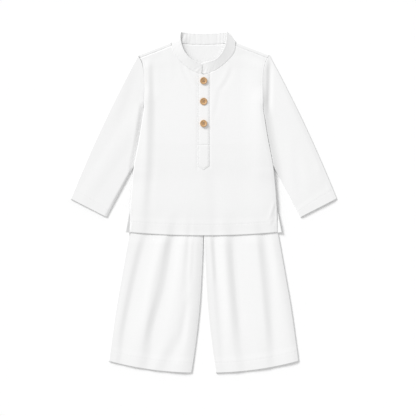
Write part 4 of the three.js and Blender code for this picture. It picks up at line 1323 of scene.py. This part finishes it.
def collar_lines(side):
    """The seam and the free edge of half the collar, from the opening to the middle of the back."""
    end = COLLAR_ENDS[side]
    count = COLLAR_COUNTS
    seam_radius = (COLLAR_SEAM_RISE["front"] - COLLAR_SEAM_RISE["back"]) / 2
    edge_top = {column: COLLAR_EDGE[column][-1] for column in COLLAR_EDGE}
    edge_radius = (edge_top["rise"] - COLLAR_BACK_EDGE["rise"] - NECK_CURL[side]) / 2
    fold_out = NECK_POINT["out"] - (seam_radius + COLLAR_CLOTH / 2 + SEAM_GAP)
    fold_up = NECK_POINT["up"] - COLLAR_GAP
    outward = np.array([edge_top["up"] - fold_up, fold_out - edge_top["out"], 0])
    outward /= np.linalg.norm(outward)

    last_seam = shoulder_start(SHOULDER_SEAM + 2)
    turn = np.linspace(0, math.pi / 2, count["front"])
    seam_out = between(end, last_seam, np.sin(turn))
    slope = neckline_up(np.abs(seam_out + 0.5)) - neckline_up(np.abs(seam_out - 0.5))
    away = COLLAR_GAP / np.hypot(1, slope)

    def lap_drop(out):
        return COLLAR_LAP_DROP[side] * (1 - smooth_step(out - end, *COLLAR_LAP_REACH[side]))

    seam_front = np.stack(
        [
            seam_out - slope * away,
            neckline_up(np.abs(seam_out)) + away,
            COLLAR_SEAM_RISE["front"] - lap_drop(seam_out),
        ],
        axis=-1,
    )
    rows = np.linspace(0, 6, count["front"] + 1)[:-1]
    edge = {column: table_curve(COLLAR_EDGE, "row", column, rows) for column in ("out", "up", "rise")}
    edge_out = edge["out"] + end * (1 - smooth_step(edge["out"], 0, 30))
    roundness = np.maximum(1 - (edge_out - end) / COLLAR_CORNER["sweep"], 0)
    edge_front = np.stack(
        [
            edge_out,
            edge["up"] - COLLAR_CORNER["drop"] * roundness**2,
            edge["rise"] - lap_drop(edge_out),
        ],
        axis=-1,
    )
    seam_centre = np.array([fold_out, fold_up, COLLAR_SEAM_RISE["front"] - seam_radius])
    edge_centre = np.array([edge_top["out"], edge_top["up"], edge_top["rise"] - edge_radius])

    def back_line(start, middle_up, rise):
        share = np.linspace(0, 1, count["back"])[1:]
        out = between(start[0], 0, share)
        up = between(middle_up, start[1], (1 - share) ** 2)
        towards = -1 if side == "left" else 1
        return np.stack([out, up, rise + neck_curl(towards * np.maximum(out, 0.01), up)], axis=-1)

    seam_back = back_line(seam_centre, BACK_NECK_UP + COLLAR_GAP, COLLAR_SEAM_RISE["back"])
    edge_back = back_line(edge_centre, COLLAR_BACK_EDGE["up"], COLLAR_BACK_EDGE["rise"])
    corner = count["corner"]
    seam = np.concatenate(
        [seam_front[:-1], half_turn(seam_centre, outward, seam_radius, corner), seam_back]
    )
    edge = np.concatenate(
        [edge_front[:-1], half_turn(edge_centre, outward, edge_radius, corner), edge_back]
    )
    return seam, edge


def soften(line, times=16):
    """Rounds off the joints of a line of points without moving its ends."""
    line = line.copy()
    for _ in range(times):
        line[1:-1] = (line[:-2] + 2 * line[1:-1] + line[2:]) / 4
    return line


collar_halves = {side: [soften(line) for line in collar_lines(side)] for side in ("left", "right")}
print("points along half of the collar:", len(collar_halves["left"][0]))

# %% [markdown]
# ## The collar band
#
# A grid spans the two lines, with an outer and an inner face on either side of it. The band is two layers
# and thicker than the rest, with rounded edges. Where it is handled most, at the opening and inside the
# back, it has small puckers.

# %% Collar band
# the back's puckers: how far out, half width, height
COLLAR_PUCKERS = [
    (-34, 2.0, 0.5), (-27, 2.4, 0.2), (-16, 2.4, 0.35), (-3, 3.0, 0.15), (12, 2.8, 0.2), (29, 2.0, 0.45),
    (37, 1.8, 0.4), (43, 1.6, 0.3),
]  # fmt: skip
COLLAR_WIDTH = 25
COLLAR_SHARES = fine_steps(COLLAR_WIDTH, 1.2, 0.25) / COLLAR_WIDTH
COLLAR_BACK = {"from_up": 690, "below": 4.6, "out": 50}  # where the band lies behind the neck opening
COLLAR_THINNEST = 0.5  # taken off the half thickness at most, at an edge
COLLAR_ROLLS = {"edge": (0.9, 0.5), "seam": 1.6, "seam_back": 0.36, "seam_front": 0.2, "end": (3, 0.42)}
COLLAR_ROWS = (2.0, 22.0)  # of stitches, counted from the seam
COLLAR_GROOVE = (0.7, 0.1)
HANDLED = {"below": 670, "outs": (8, 34), "reach": 9, "depth": 0.3}  # the puckers at the opening
COLLAR_REST = 0.02  # the back of the band lies on the floor and no pucker goes below this


def collar():
    left, right = collar_halves["left"], collar_halves["right"]
    seam, edge = (
        np.concatenate([left_half * [-1, 1, 1], right_half[-2::-1]])
        for left_half, right_half in zip(left, right)
    )
    middle = between(seam[None], edge[None], COLLAR_SHARES[:, None, None])
    across = np.gradient(middle, axis=1)
    up_the_band = np.broadcast_to(edge - seam, middle.shape)
    normal = np.cross(across, up_the_band)
    normal /= np.linalg.norm(normal, axis=2, keepdims=True)
    run = np.concatenate([[0], np.cumsum(np.linalg.norm(np.diff(edge, axis=0), axis=1))])[None, :]
    from_seam = (COLLAR_SHARES * COLLAR_WIDTH)[:, None]
    from_edge = COLLAR_WIDTH - from_seam
    out, up, height = np.moveaxis(middle, -1, 0)
    at_back = (
        (up > COLLAR_BACK["from_up"]) & (height < COLLAR_BACK["below"]) & (np.abs(out) < COLLAR_BACK["out"])
    )
    column = np.arange(middle.shape[1])
    from_end = np.minimum(column, column[::-1])[None, :]
    seam_drop = np.where(at_back, COLLAR_ROLLS["seam_back"], COLLAR_ROLLS["seam_front"])
    along_edges = rolled_edge(from_edge, *COLLAR_ROLLS["edge"])
    along_edges = along_edges + rolled_edge(from_seam, COLLAR_ROLLS["seam"], seam_drop)
    rounding = np.maximum(along_edges, rolled_edge(from_end, *COLLAR_ROLLS["end"]))
    rounding = np.minimum(rounding, COLLAR_THINNEST)
    back_puckers = sum(
        depth * np.exp(-(((out - place) / half_width) ** 2)) for place, half_width, depth in COLLAR_PUCKERS
    ) * between(0.55, 1, from_seam / COLLAR_WIDTH)
    near_opening = (up < HANDLED["below"]) * (1 - smooth_step(np.abs(out), *HANDLED["outs"]))
    slanting = run + from_seam * 0.5
    handled = puckers(slanting, from_seam - 4, HANDLED["reach"], HANDLED["depth"], start=6)
    edge_row, seam_row = from_edge - COLLAR_WIDTH + COLLAR_ROWS[1], from_seam - COLLAR_ROWS[0]
    fine = (
        puckers(run, seam_row, 6, 0.12, start=1)
        + puckers(run, edge_row, 6, 0.1, start=8)
        + seam_groove(edge_row, *COLLAR_GROOVE)
        + seam_groove(seam_row, *COLLAR_GROOVE)
        - at_back * back_puckers
        + near_opening * handled
    )
    half_thick = COLLAR_CLOTH / 2 - rounding
    outer = middle + normal * (half_thick + fine)[..., None]
    inner = middle - normal * (half_thick - fine)[..., None]
    for face in (outer, inner):
        face[..., 2] = np.maximum(face[..., 2], COLLAR_REST)
    return cloth_shell("collar_band", outer, inner, cotton_plain_weave, "collar")


collar()

# %% [markdown]
# ## Tubes pressed flat
#
# The sleeves and the waistband are tubes that lie flat: two layers with a rounded fold along each edge. One
# function makes rings of points for any of them, from its outline seen from above and from how far its
# upper and its lower layer are lifted.

# %% Flat tubes
TURN_ANGLES = np.linspace(1, -1, 9)[1:-1]  # of a fold, as shares of a quarter circle


def flat_tube(plan, lift, hollow, radius, across_steps, along_steps):
    """Rings of a tube pressed flat: its outline from above, and the rise of its upper and its lower layer."""
    rings = []
    for along in along_steps:
        fine = plan(np.linspace(0, 1, 200), along)
        length = np.sum(np.linalg.norm(np.diff(fine, axis=0), axis=1))
        edge = radius / length
        shares = between(edge, 1 - edge, across_steps)
        top = plan(shares, along)
        upper = np.column_stack([top, 2 * radius + lift(shares, along)])
        lower = np.column_stack([top, hollow(shares, along)])[::-1]
        turns = []
        for at, towards, start in ((1 - edge, 1, math.pi / 2), (edge, -1, -math.pi / 2)):
            centre = plan(np.array([at]), along)[0]
            direction = plan(np.array([at + towards * edge]), along)[0] - centre
            direction /= np.linalg.norm(direction)
            angles = start * TURN_ANGLES
            turns.append(
                np.column_stack(
                    [
                        centre[None, :] + radius * np.cos(angles)[:, None] * direction,
                        radius * (1 + np.sin(angles)),
                    ]
                )
            )
        rings.append(np.concatenate([upper, turns[0], lower, turns[1]]))
    return np.array(rings)


print("a fold's points:", len(TURN_ANGLES))

# %% [markdown]
# ## The sleeves
#
# The upper end of a sleeve follows the armhole, edge to edge with the body, and below the underarm it runs
# on under the body's side. The right sleeve rises towards the body, and that slope is the soft shaded band
# beside it. Both are pressed thinner towards the cuff, which has a turned hem.

# %% Sleeve measures
SLEEVE_WIDTH = 80
SLEEVE_BOW = 5  # of the outer edge
SLEEVE_STEP = 2.2
SEAM_STEPS = np.array([0, 0.2, 0.5, 0.9, 1.5, 2.4])  # of the first rings, at the armhole
CUFF_ZONE = {"length": 24, "rings": 22.5}
CUFF_FLATTENS = {"share": 0.45, "along": (0.75, 1)}
CUFF_PUCKER_DEPTH = 0.07
CUFF_ROLL = (1.0, 0.4)
ARMHOLE_ROLL = (0.8, 0.5)
CUFF = {"outer": np.array([279.6, 367.5]), "inner": np.array([203.2, 328.5])}
CUFF_DEPTH = {"outer": 15.5, "inner": 21}
UNDERARM = {"out": 128, "up": 470}
SLEEVE_PUFF = {-1: 1.9, 1: 1.3}
RIGHT_BULGE = {"height": 4.8, "top": 0.5, "reach": 19, "seam_reach": 12}
SLEEVE_RIDGE = {"height": 0.5, "from": 0.62, "to": 0.3, "half_width": 0.24}
SLEEVE_ROLLS = {-1: (0.8, 6), 1: (9, 1)}  # of the outer and the inner edge of each sleeve
# from out, from up, to out, to up, bow, width, ridge, roll
SLEEVE_CREASES = {
    -1: [
        (-148, 645, -186, 525, 4, 10, 0, 0.25),
        (-133, 560, -141, 470, 0, 6, 0, 0.3),
    ],
    1: [
        (136, 662, 134, 550, 0, 4.5, 0.1, 1.05),
        (186, 490, 199, 360, 0, 9, 0, 0.2),
        (243, 440, 254, 390, 0, 6, 0, 0.2),
    ],
}


def cuff_depth(across):
    return between(CUFF_DEPTH["outer"], CUFF_DEPTH["inner"], across)


def body_seam_lift(up):
    """How far the body's right edge stands above a sleeve that lies flat, along the armhole."""
    edge = body_edge("front", up)
    return front_height(edge, up) - 2 * SLEEVE_RADIUS


print("a cuff's hem is", CUFF_DEPTH["outer"], "to", CUFF_DEPTH["inner"], "mm deep")

# %% [markdown]
# ## Making a sleeve
#
# Seen from above, a sleeve spans the armhole and the cuff, and its outer edge is bowed out a little. Its
# upper layer is lifted by the air inside, by its creases and by its hem, and pressed down at its edges.

# %% Sleeves
def sleeve(side):
    name = "left" if side < 0 else "right"

    def armhole_out(up):
        return body_edge("front", up) + SEAM_REACH - 0.05

    seam_up = np.linspace(SHOULDER_POINT["up"], SLEEVE_MEETS_BODY_UP, 80)
    under_share = np.linspace(0, 1, 30)[1:]
    hole = np.column_stack(
        [
            np.concatenate(
                [armhole_out(seam_up), between(armhole_out(seam_up[-1]), UNDERARM["out"], under_share)]
            ),
            np.concatenate([seam_up, between(seam_up[-1], UNDERARM["up"], under_share)]),
        ]
    )
    hole_run = np.concatenate([[0], np.cumsum(np.linalg.norm(np.diff(hole, axis=0), axis=1))])
    hole_run /= hole_run[-1]
    outer_edge = CUFF["outer"] - hole[0]
    outer_edge /= np.linalg.norm(outer_edge)
    outward = np.array([-outer_edge[1], outer_edge[0]])

    def plan(across, along):
        seam = np.column_stack([np.interp(across, hole_run, hole[:, k]) for k in (0, 1)])
        cuff = between(CUFF["outer"], CUFF["inner"], across[:, None])
        bulge = SLEEVE_BOW * (1 - across) * 4 * along * (1 - along)
        place = between(seam, cuff, along) + bulge[:, None] * outward
        return place * [side, 1]

    middle = (plan(np.array([0.5]), 0)[0], plan(np.array([0.5]), 1)[0])
    length = float(np.linalg.norm(middle[1] - middle[0]))

    def lift(across, along):
        place = plan(across, along)
        ends = plan(np.array([0.0, 1.0]), along)
        width = float(np.linalg.norm(ends[1] - ends[0]))
        outer_roll, inner_roll = SLEEVE_ROLLS[side]
        edges = smooth_step(across * width, 0, outer_roll)
        edges = edges * smooth_step((1 - across) * width, 0, inner_roll)
        from_body = np.abs(place[:, 0]) - body_edge("front", place[:, 1])
        cuff = between(1, CUFF_FLATTENS["share"], smooth_step(along, *CUFF_FLATTENS["along"]))
        u = across - between(SLEEVE_RIDGE["from"], SLEEVE_RIDGE["to"], along)
        u = u / SLEEVE_RIDGE["half_width"]
        ridge = SLEEVE_RIDGE["height"] * np.clip(1 - u * u, 0, 1) ** 2
        over_hem = (1 - along) * length
        creases = crease_lift(SLEEVE_CREASES[side], place[:, 0], place[:, 1])
        sewn = at_armhole(place[:, 1])
        if side < 0:
            body_roll = between(smooth_step(from_body, 0, 12), 1, sewn)
            bulge = 0
        else:
            body_roll = smooth_step(from_body, 10, 70)
            reach = between(RIGHT_BULGE["reach"], RIGHT_BULGE["seam_reach"], sewn)
            bulge = (
                between(RIGHT_BULGE["height"], body_seam_lift(place[:, 1]), sewn)
                * between(smooth_step(from_body, -0.5, RIGHT_BULGE["top"]), 1, sewn)
                * np.clip(1 - from_body / reach, 0, 1) ** 2
            )
        near_edge = np.minimum(across, 1 - across) * width
        from_row = over_hem - cuff_depth(across)
        fine = puckers(across * width, from_row, HEM_PUCKERS["reach"], CUFF_PUCKER_DEPTH, start=side)
        fine = fine + seam_groove(from_row, STITCH_GROOVE["width"], STITCH_GROOVE["depth"])
        puff = body_roll * cuff * (SLEEVE_PUFF[side] + ridge)
        return (
            edges * (puff + bulge + creases + hem_lift(over_hem, cuff_depth(across)))
            + fine * smooth_step(near_edge, 0, 4)
            - rolled_edge(over_hem, *CUFF_ROLL)
            - rolled_edge(along * length, *ARMHOLE_ROLL)
        )

    across_steps = fine_steps(SLEEVE_WIDTH, GRID_STEP) / SLEEVE_WIDTH
    tube_length = length - CUFF_ZONE["length"]
    along_steps = np.concatenate(
        [
            SEAM_STEPS[:-1] / length,
            np.linspace(SEAM_STEPS[-1] / length, tube_length / length, round(tube_length / SLEEVE_STEP)),
            1 - fine_steps(CUFF_ZONE["rings"], HEM_ZONE["step"])[::-1] / length,
        ]
    )

    def hollow(across, along):
        place = plan(across, along)
        from_edge = np.minimum(across, 1 - across) * SLEEVE_WIDTH
        return hollow_under(f"sleeve_{name}", place[:, 0], place[:, 1], from_edge)

    outer = flat_tube(plan, lift, hollow, SLEEVE_RADIUS, across_steps, along_steps)
    inner = inner_face(outer, side * CLOTH, ring=True)  # the left sleeve's rings run the other way round
    cloth_shell(
        f"sleeve_{name}_cloth", outer, inner, cotton_plain_weave, f"sleeve_{name}", ring=True
    )
    return plan, length


sleeves = {name: sleeve(side) for name, side in (("left", -1), ("right", 1))}
print("a sleeve is", round(sleeves["left"][1]), "mm long")

# %% [markdown]
# ## The waistband
#
# The waistband is another flat tube, with elastic inside that draws it into small gathers. The top hides
# it, so it stays simple.

# %% Waistband
WAISTBAND_RADIUS = 2.25
WAISTBAND_CLOTH = 1.2
GATHER_DEPTH = 0.18


def waist_plan(across, along):
    return np.column_stack(
        [
            between(-WAISTBAND_HALF, WAISTBAND_HALF, across),
            np.full_like(across, between(WAIST_UP, WAIST_TOP_UP, along)),
        ]
    )


def waist_lift(across, along):
    gathers = puckers(2 * WAISTBAND_HALF * across, 0, 1, GATHER_DEPTH, start=4)
    return np.minimum(gathers, 0) * np.ones_like(across)


def waist_hollow(across, along):
    return -waist_lift(across, along)


waist_outer = flat_tube(
    waist_plan,
    waist_lift,
    waist_hollow,
    WAISTBAND_RADIUS,
    np.linspace(0, 1, 140),
    np.linspace(0, 1, 14),
)
waist_inner = inner_face(waist_outer, WAISTBAND_CLOTH, ring=True)
cloth_shell("waistband_band", waist_outer, waist_inner, cotton_plain_weave, "waistband", ring=True)

# %% [markdown]
# ## Stitches
#
# Hems and seams are sewn with white thread, three stitches to a centimetre. Each stitch is a short round
# length of thread that dips into the cloth at both ends, and many of them make one mesh. They are drawn a
# little coarser than real ones, so that they show.

# %% Lengths of thread
STITCH = {"pitch": 3.3, "length": 2.4, "radius": 0.2, "sink": 0.35, "climb": 1.0}
RING_PLACES = np.array([-1, -0.85, -0.4, 0.4, 0.85, 1])
RING_RADII = np.array([0.45, 0.9, 1, 1, 0.9, 0.45])
RING_SINKS = np.array([1, 0.45, 0, 0, 0.45, 1])
RING_SIDES = 6


def thread_mesh(name, starts, middles, ends, radius, sink, material, slot):
    """Short lengths of thread as one mesh: each runs from start to end over its middle."""
    run = ends - starts
    aside = np.cross(run, [0, 0, 1])
    aside /= np.linalg.norm(aside, axis=1, keepdims=True)
    upward = np.cross(aside, run)
    upward /= np.linalg.norm(upward, axis=1, keepdims=True)
    bow = middles - (starts + ends) / 2
    angles = np.arange(RING_SIDES) * 2 * math.pi / RING_SIDES
    rings = []
    for place, size, depth in zip(RING_PLACES, RING_RADII, RING_SINKS):
        centre = (starts + ends) / 2 + run / 2 * place + bow * (1 - place**2)
        centre = centre - [0, 0, depth * sink]
        around = (
            np.cos(angles)[None, :, None] * aside[:, None]
            + np.sin(angles)[None, :, None] * upward[:, None]
        )
        rings.append(centre[:, None] + around * radius * size)
    points = np.stack(rings, axis=1)
    index = np.arange(points[..., 0].size).reshape(points.shape[:3])
    turned = np.roll(index, -1, axis=2)
    walls = np.stack([index[:, :-1], index[:, 1:], turned[:, 1:], turned[:, :-1]], axis=-1)
    caps = [tuple(ring) for ring in index[:, 0]] + [tuple(ring[::-1]) for ring in index[:, -1]]
    mesh = bpy.data.meshes.new(name)
    mesh.from_pydata(in_metres(points.reshape(-1, 3)).tolist(), [], walls.reshape(-1, 4).tolist() + caps)
    mesh.shade_smooth()
    mesh.materials.append(material)
    threads = bpy.data.objects.new(name, mesh)
    bpy.context.scene.collection.objects.link(threads)
    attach(threads, "root")
    return threads


print("a stitch is", STITCH["length"], "mm long")

# %% [markdown]
# ## Sewing along a line
#
# A line of stitching is given as places seen from above, and a ray dropped on the cloth finds its height
# there, so the stitches follow every fold. A stitch that would climb from one layer to another is left out.


def along_line(line, places):
    """Points of a line of (out, up) at distances along it."""
    run = np.concatenate([[0], np.cumsum(np.linalg.norm(np.diff(line, axis=0), axis=1))])
    return np.column_stack([np.interp(places, run, line[:, k]) for k in (0, 1)])


def drop_on(piece, places):
    """The places with the height at which a ray from above meets the piece, or no number if it misses."""
    mesh = piece.data
    tree = BVHTree.FromPolygons([v.co for v in mesh.vertices], [p.vertices for p in mesh.polygons])
    heights = []
    for place in in_metres(np.column_stack([places, np.zeros(len(places))])):
        hit, _, _, _ = tree.ray_cast((place[0], place[1], 1.0), (0, 0, -1))
        heights.append(hit.z / MM if hit else np.nan)
    return np.column_stack([places, heights])


def sew(piece_name, lines):
    """Sews lines of (out, up) places on a piece of cloth."""
    centres, halves = [], []
    for line in lines:
        line = np.asarray(line, float)
        length = np.sum(np.linalg.norm(np.diff(line, axis=0), axis=1))
        at = np.arange(STITCH["pitch"] / 2, length, STITCH["pitch"])
        centres.append(along_line(line, at))
        halves.append([along_line(line, at + way * STITCH["length"] / 2) for way in (-1, 1)])
    starts, ends = (np.concatenate([half[k] for half in halves]) for k in (0, 1))
    piece = shells[piece_name]["piece"]
    starts, middles, ends = (
        drop_on(piece, places) for places in (starts, np.concatenate(centres), ends)
    )
    heights = np.stack([starts[:, 2], middles[:, 2], ends[:, 2]])
    sewn = np.ptp(heights, axis=0) < STITCH["climb"]
    threads = thread_mesh(
        f"{piece_name}_stitches",
        starts[sewn],
        middles[sewn],
        ends[sewn],
        STITCH["radius"],
        STITCH["sink"],
        cotton_thread,
        "white_cotton",
    )
    print(threads.name, "has", int(sewn.sum()), "stitches")


print("stitches to a centimetre:", round(10 / STITCH["pitch"]))

# %% [markdown]
# ## Where the stitches run
#
# A row closes each hem and each cuff, one runs beside each inseam, each armhole, each forward shoulder seam
# and each side slit, and one goes round the placket with a box across it. The collar has a row along either
# edge.

# %% Sew every seam
INSEAM_ROW = 4.2
ARMHOLE_ROW = 4.6
SHOULDER_ROW = SHOULDER_SEAM - 2
SLIT_ROW = 5.5
TACK = (0.8, 5.5)  # a short row across the top of each slit, counted in from its edge
COLLAR_FRONT = {"above": 2.6, "back_out": 44}  # its stitches show on the front, and in the neck opening

shares = np.linspace(0.015, 0.985, 80)
for leg, side in (("left", -1), ("right", 1)):
    hem_row_up = leg_hem_up(shares) + LEG_HEM["depth"]
    hem_row_out = between(leg_edge("inner", hem_row_up), leg_edge("outer", hem_row_up), shares)
    seam_up = np.linspace(6, 300, 80)
    seam_out = leg_edge("inner", seam_up) + INSEAM_ROW
    sew(
        f"leg_front_{leg}",
        [np.column_stack([side * hem_row_out, hem_row_up]), np.column_stack([side * seam_out, seam_up])],
    )

front_rows = []
hem_shares = np.linspace(-1, 1, 160)
hem_row_up = TOP_HEM["up"] + TOP_HEM["rise"] * hem_shares**2 + TOP_HEM["depth"]
front_rows.append(np.column_stack([hem_shares * (body_edge("front", hem_row_up) - 1.5), hem_row_up]))
for side in (-1, 1):
    armhole_up = np.linspace(SLEEVE_MEETS_BODY_UP, SHOULDER_POINT["up"] - 9, 60)
    armhole_out = side * (body_edge("front", armhole_up) - ARMHOLE_ROW)
    slit_up = np.linspace(TOP_HEM["up"] + 8, SLIT_TOP_UP, 20)
    slit_out = side * (body_edge("front", slit_up) - SLIT_ROW)
    tack = [(side * (body_edge("front", SLIT_TOP_UP) - inset), SLIT_TOP_UP + 1) for inset in TACK]
    front_rows += [
        np.column_stack([armhole_out, armhole_up]),
        np.column_stack([slit_out, slit_up]),
        tack,
    ]
sew("top_front_cloth", front_rows)

shoulder_rows = []
for side in (-1, 1):
    row_out = np.linspace(shoulder_start(SHOULDER_ROW) + 1, shoulder_end(SHOULDER_ROW) - 1, 40)
    shoulder_rows.append(np.column_stack([side * row_out, shoulder_line(row_out, SHOULDER_ROW)]))
sew("top_back_cloth", shoulder_rows)

for name, (plan, length) in sleeves.items():
    across = np.linspace(0.03, 0.97, 60)
    cuff_row = np.concatenate(
        [plan(np.array([a]), 1 - cuff_depth(a) / length) for a in across]
    )
    sew(f"sleeve_{name}_cloth", [cuff_row])

row_half = PLACKET_HALF - PLACKET_ROW
point_up = PLACKET_POINT["up"] + PLACKET_ROW * 1.2
shoulder_up = point_up + PLACKET_POINT["drop"] * row_half / PLACKET_HALF
placket_top = float(neckline_up(row_half)) - 3
sew(
    "placket_upper_strip",
    [
        [(-row_half, placket_top), (-row_half, shoulder_up), (0, point_up)],
        [(row_half, placket_top), (row_half, shoulder_up), (0, point_up)],
        [(-row_half, PLACKET_BOX_ROW), (row_half, PLACKET_BOX_ROW)],
    ],
)

collar_grid = shells["collar_band"]["outer"]
collar_rows = []
for from_seam in COLLAR_ROWS:
    row = collar_grid[np.argmin(np.abs(COLLAR_SHARES * COLLAR_WIDTH - from_seam))]
    in_front = row[:, 2] > COLLAR_FRONT["above"]
    at_back = ~in_front & (np.abs(row[:, 0]) < COLLAR_FRONT["back_out"])
    middle = len(row) // 2
    collar_rows += [row[:middle][in_front[:middle], :2], row[middle:][in_front[middle:], :2]]
    collar_rows.append(row[at_back, :2])
sew("collar_band", [row for row in collar_rows if len(row) > 1])

# %% [markdown]
# ## The buttons
#
# A wooden button is turned on a lathe: a raised rim with a rounded edge, and a dish inside it with four
# holes. The mesh is made the same way, as rings of points round the axis, with small wells sunk where the
# holes are. Two pairs of threads hold it. Each button stays where the solid one is, tilted with the cloth.

# %% Turned buttons
BUTTON_SEGMENTS = 64
# share of the radius, share of the thickness
BUTTON_PROFILE = [
    (0.0, 0.0), (0.6, 0.0), (0.86, 0.02), (0.95, 0.12), (0.99, 0.3), (1.0, 0.5),
    (0.99, 0.7), (0.965, 0.86), (0.93, 0.95), (0.89, 0.99), (0.84, 1.0), (0.79, 0.97), (0.75, 0.9),
    (0.71, 0.8), (0.67, 0.72), (0.61, 0.66), (0.54, 0.63),
]  # fmt: skip
DISH_HEIGHT = 0.6
HOLE = {"radius": 0.85, "from_middle": 1.4, "floor": 0.12, "edge": (-0.15, 0.1)}
BUTTON_STITCH = {"apart": 0.28, "bow": 0.3, "radius": 0.26, "sink": 0.9}


def turned_button(node):
    low, high = (np.array(corner) / MM + [0, UP_AT_ORIGIN, 0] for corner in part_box(node))
    middle, radius, tall = (low + high) / 2, (high[0] - low[0]) / 2, BUTTON_THICKNESS
    slope = placket_height(0, middle[1] + radius) - placket_height(0, middle[1] - radius)
    tilt = math.copysign(math.asin(max(high[2] - low[2] - tall, 0) / (2 * radius)), slope)

    def in_place(points):
        """Points round the button's own axis, tilted with the cloth and moved to the solid's place."""
        out, up, height = np.moveaxis(points - [0, 0, tall / 2], -1, 0)
        turned_up = up * math.cos(tilt) - height * math.sin(tilt)
        turned_height = up * math.sin(tilt) + height * math.cos(tilt)
        return np.stack([out, turned_up, turned_height], axis=-1) + middle

    dish_edge, dish_rim = BUTTON_PROFILE[-1]
    dish = np.linspace(dish_edge, 0, 26)[1:-1]
    rings = BUTTON_PROFILE[1:] + [
        (share, between(DISH_HEIGHT, dish_rim, share / dish_edge)) for share in dish
    ]
    angles = np.arange(BUTTON_SEGMENTS) * 2 * math.pi / BUTTON_SEGMENTS
    across = np.array([share for share, _ in rings])[:, None] * radius
    height = np.array([share for _, share in rings])[:, None] * tall * np.ones_like(angles)
    out, up = across * np.cos(angles), across * np.sin(angles)
    upper = np.arange(len(rings))[:, None] >= len(BUTTON_PROFILE) - 1
    for hole_out in (-1, 1):
        for hole_up in (-1, 1):
            from_hole = np.hypot(
                out - hole_out * HOLE["from_middle"], up - hole_up * HOLE["from_middle"]
            )
            inside = 1 - smooth_step(from_hole - HOLE["radius"], *HOLE["edge"])
            height = np.where(upper, between(height, HOLE["floor"] * tall, inside), height)
    points = np.stack([out, up, height], axis=-1).reshape(-1, 3)
    points = np.concatenate([points, [[0, 0, 0], [0, 0, DISH_HEIGHT * tall]]])
    points = in_place(points)
    index = np.arange(len(rings) * BUTTON_SEGMENTS).reshape(len(rings), -1)
    turned = np.roll(index, -1, axis=1)
    walls = np.stack([index[:-1], turned[:-1], turned[1:], index[1:]], axis=-1).reshape(-1, 4)
    under, over = len(points) - 2, len(points) - 1
    fans = [(under, b, a) for a, b in zip(index[0].tolist(), turned[0].tolist())]
    fans += [(over, a, b) for a, b in zip(index[-1].tolist(), turned[-1].tolist())]
    mesh = bpy.data.meshes.new(f"{node}_turned")
    mesh.from_pydata(in_metres(points).tolist(), [], walls.tolist() + fans)
    mesh.shade_smooth()
    mesh.materials.append(button_wood)
    piece = bpy.data.objects.new(f"{node}_turned", mesh)
    bpy.context.scene.collection.objects.link(piece)
    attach(piece, "root")
    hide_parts(node)

    reach = HOLE["from_middle"]
    rows = [side * reach + way * BUTTON_STITCH["apart"] for side in (-1, 1) for way in (-1, 1)]
    starts = np.array([(-reach, row, DISH_HEIGHT * tall) for row in rows])
    ends = starts + [2 * reach, 0, 0]
    middles = (starts + ends) / 2 + [0, 0, BUTTON_STITCH["bow"]]
    thread_mesh(
        f"{node}_thread",
        *(in_place(places) for places in (starts, middles, ends)),
        BUTTON_STITCH["radius"],
        BUTTON_STITCH["sink"],
        button_thread,
        "white_cotton",
    )
    gap = middle[2] - tall / 2 - placket_height(0, middle[1])
    print(node, "lies", round(float(gap), 2), "mm over the placket, tilted", round(math.degrees(tilt), 1))


for node in BUTTON_NODES:
    turned_button(node)

# %% [markdown]
# ## What each piece was cut from
#
# Last comes the cutter's list: for each piece of cloth the size of what shows of it when it is laid out
# flat, in metres, and its area where it isn't a rectangle. A sleeve and the waistband are tubes, so they
# count all round.

# %% The cutter's list
# piece: width, length, area, and what it rests on
CUT_LIST = {
    "leg_back_left": (0.203, 0.456, 0.0735, []),
    "leg_back_right": (0.203, 0.456, 0.0735, []),
    "leg_front_left": (0.203, 0.456, 0.0735, ["leg_back_left"]),
    "leg_front_right": (0.203, 0.456, 0.0735, ["leg_back_right"]),
    "waistband_band": (0.44, 0.025, None, []),
    "top_back_cloth": (0.328, 0.415, 0.112, ["leg_front_left", "leg_front_right", "waistband_band"]),
    "top_front_cloth": (0.31, 0.4, 0.1, ["top_back_cloth"]),
    "sleeve_left_cloth": (0.187, 0.335, 0.051, []),
    "sleeve_right_cloth": (0.187, 0.335, 0.051, []),
    "collar_band": (0.34, 0.025, None, ["top_front_cloth", "top_back_cloth"]),
    "placket_under_strip": (0.0195, 0.151, None, ["top_back_cloth"]),
    "placket_upper_strip": (0.023, 0.203, None, ["placket_under_strip", "top_front_cloth"]),
}
for name, (width, length, area, rests_on) in CUT_LIST.items():
    piece = shells[name]["piece"]
    measured = sum(face.area for face in piece.data.polygons) / 2
    print(name, "is cut", round(width / MM), "x", round(length / MM), "mm:", round(measured, 4), "m2")
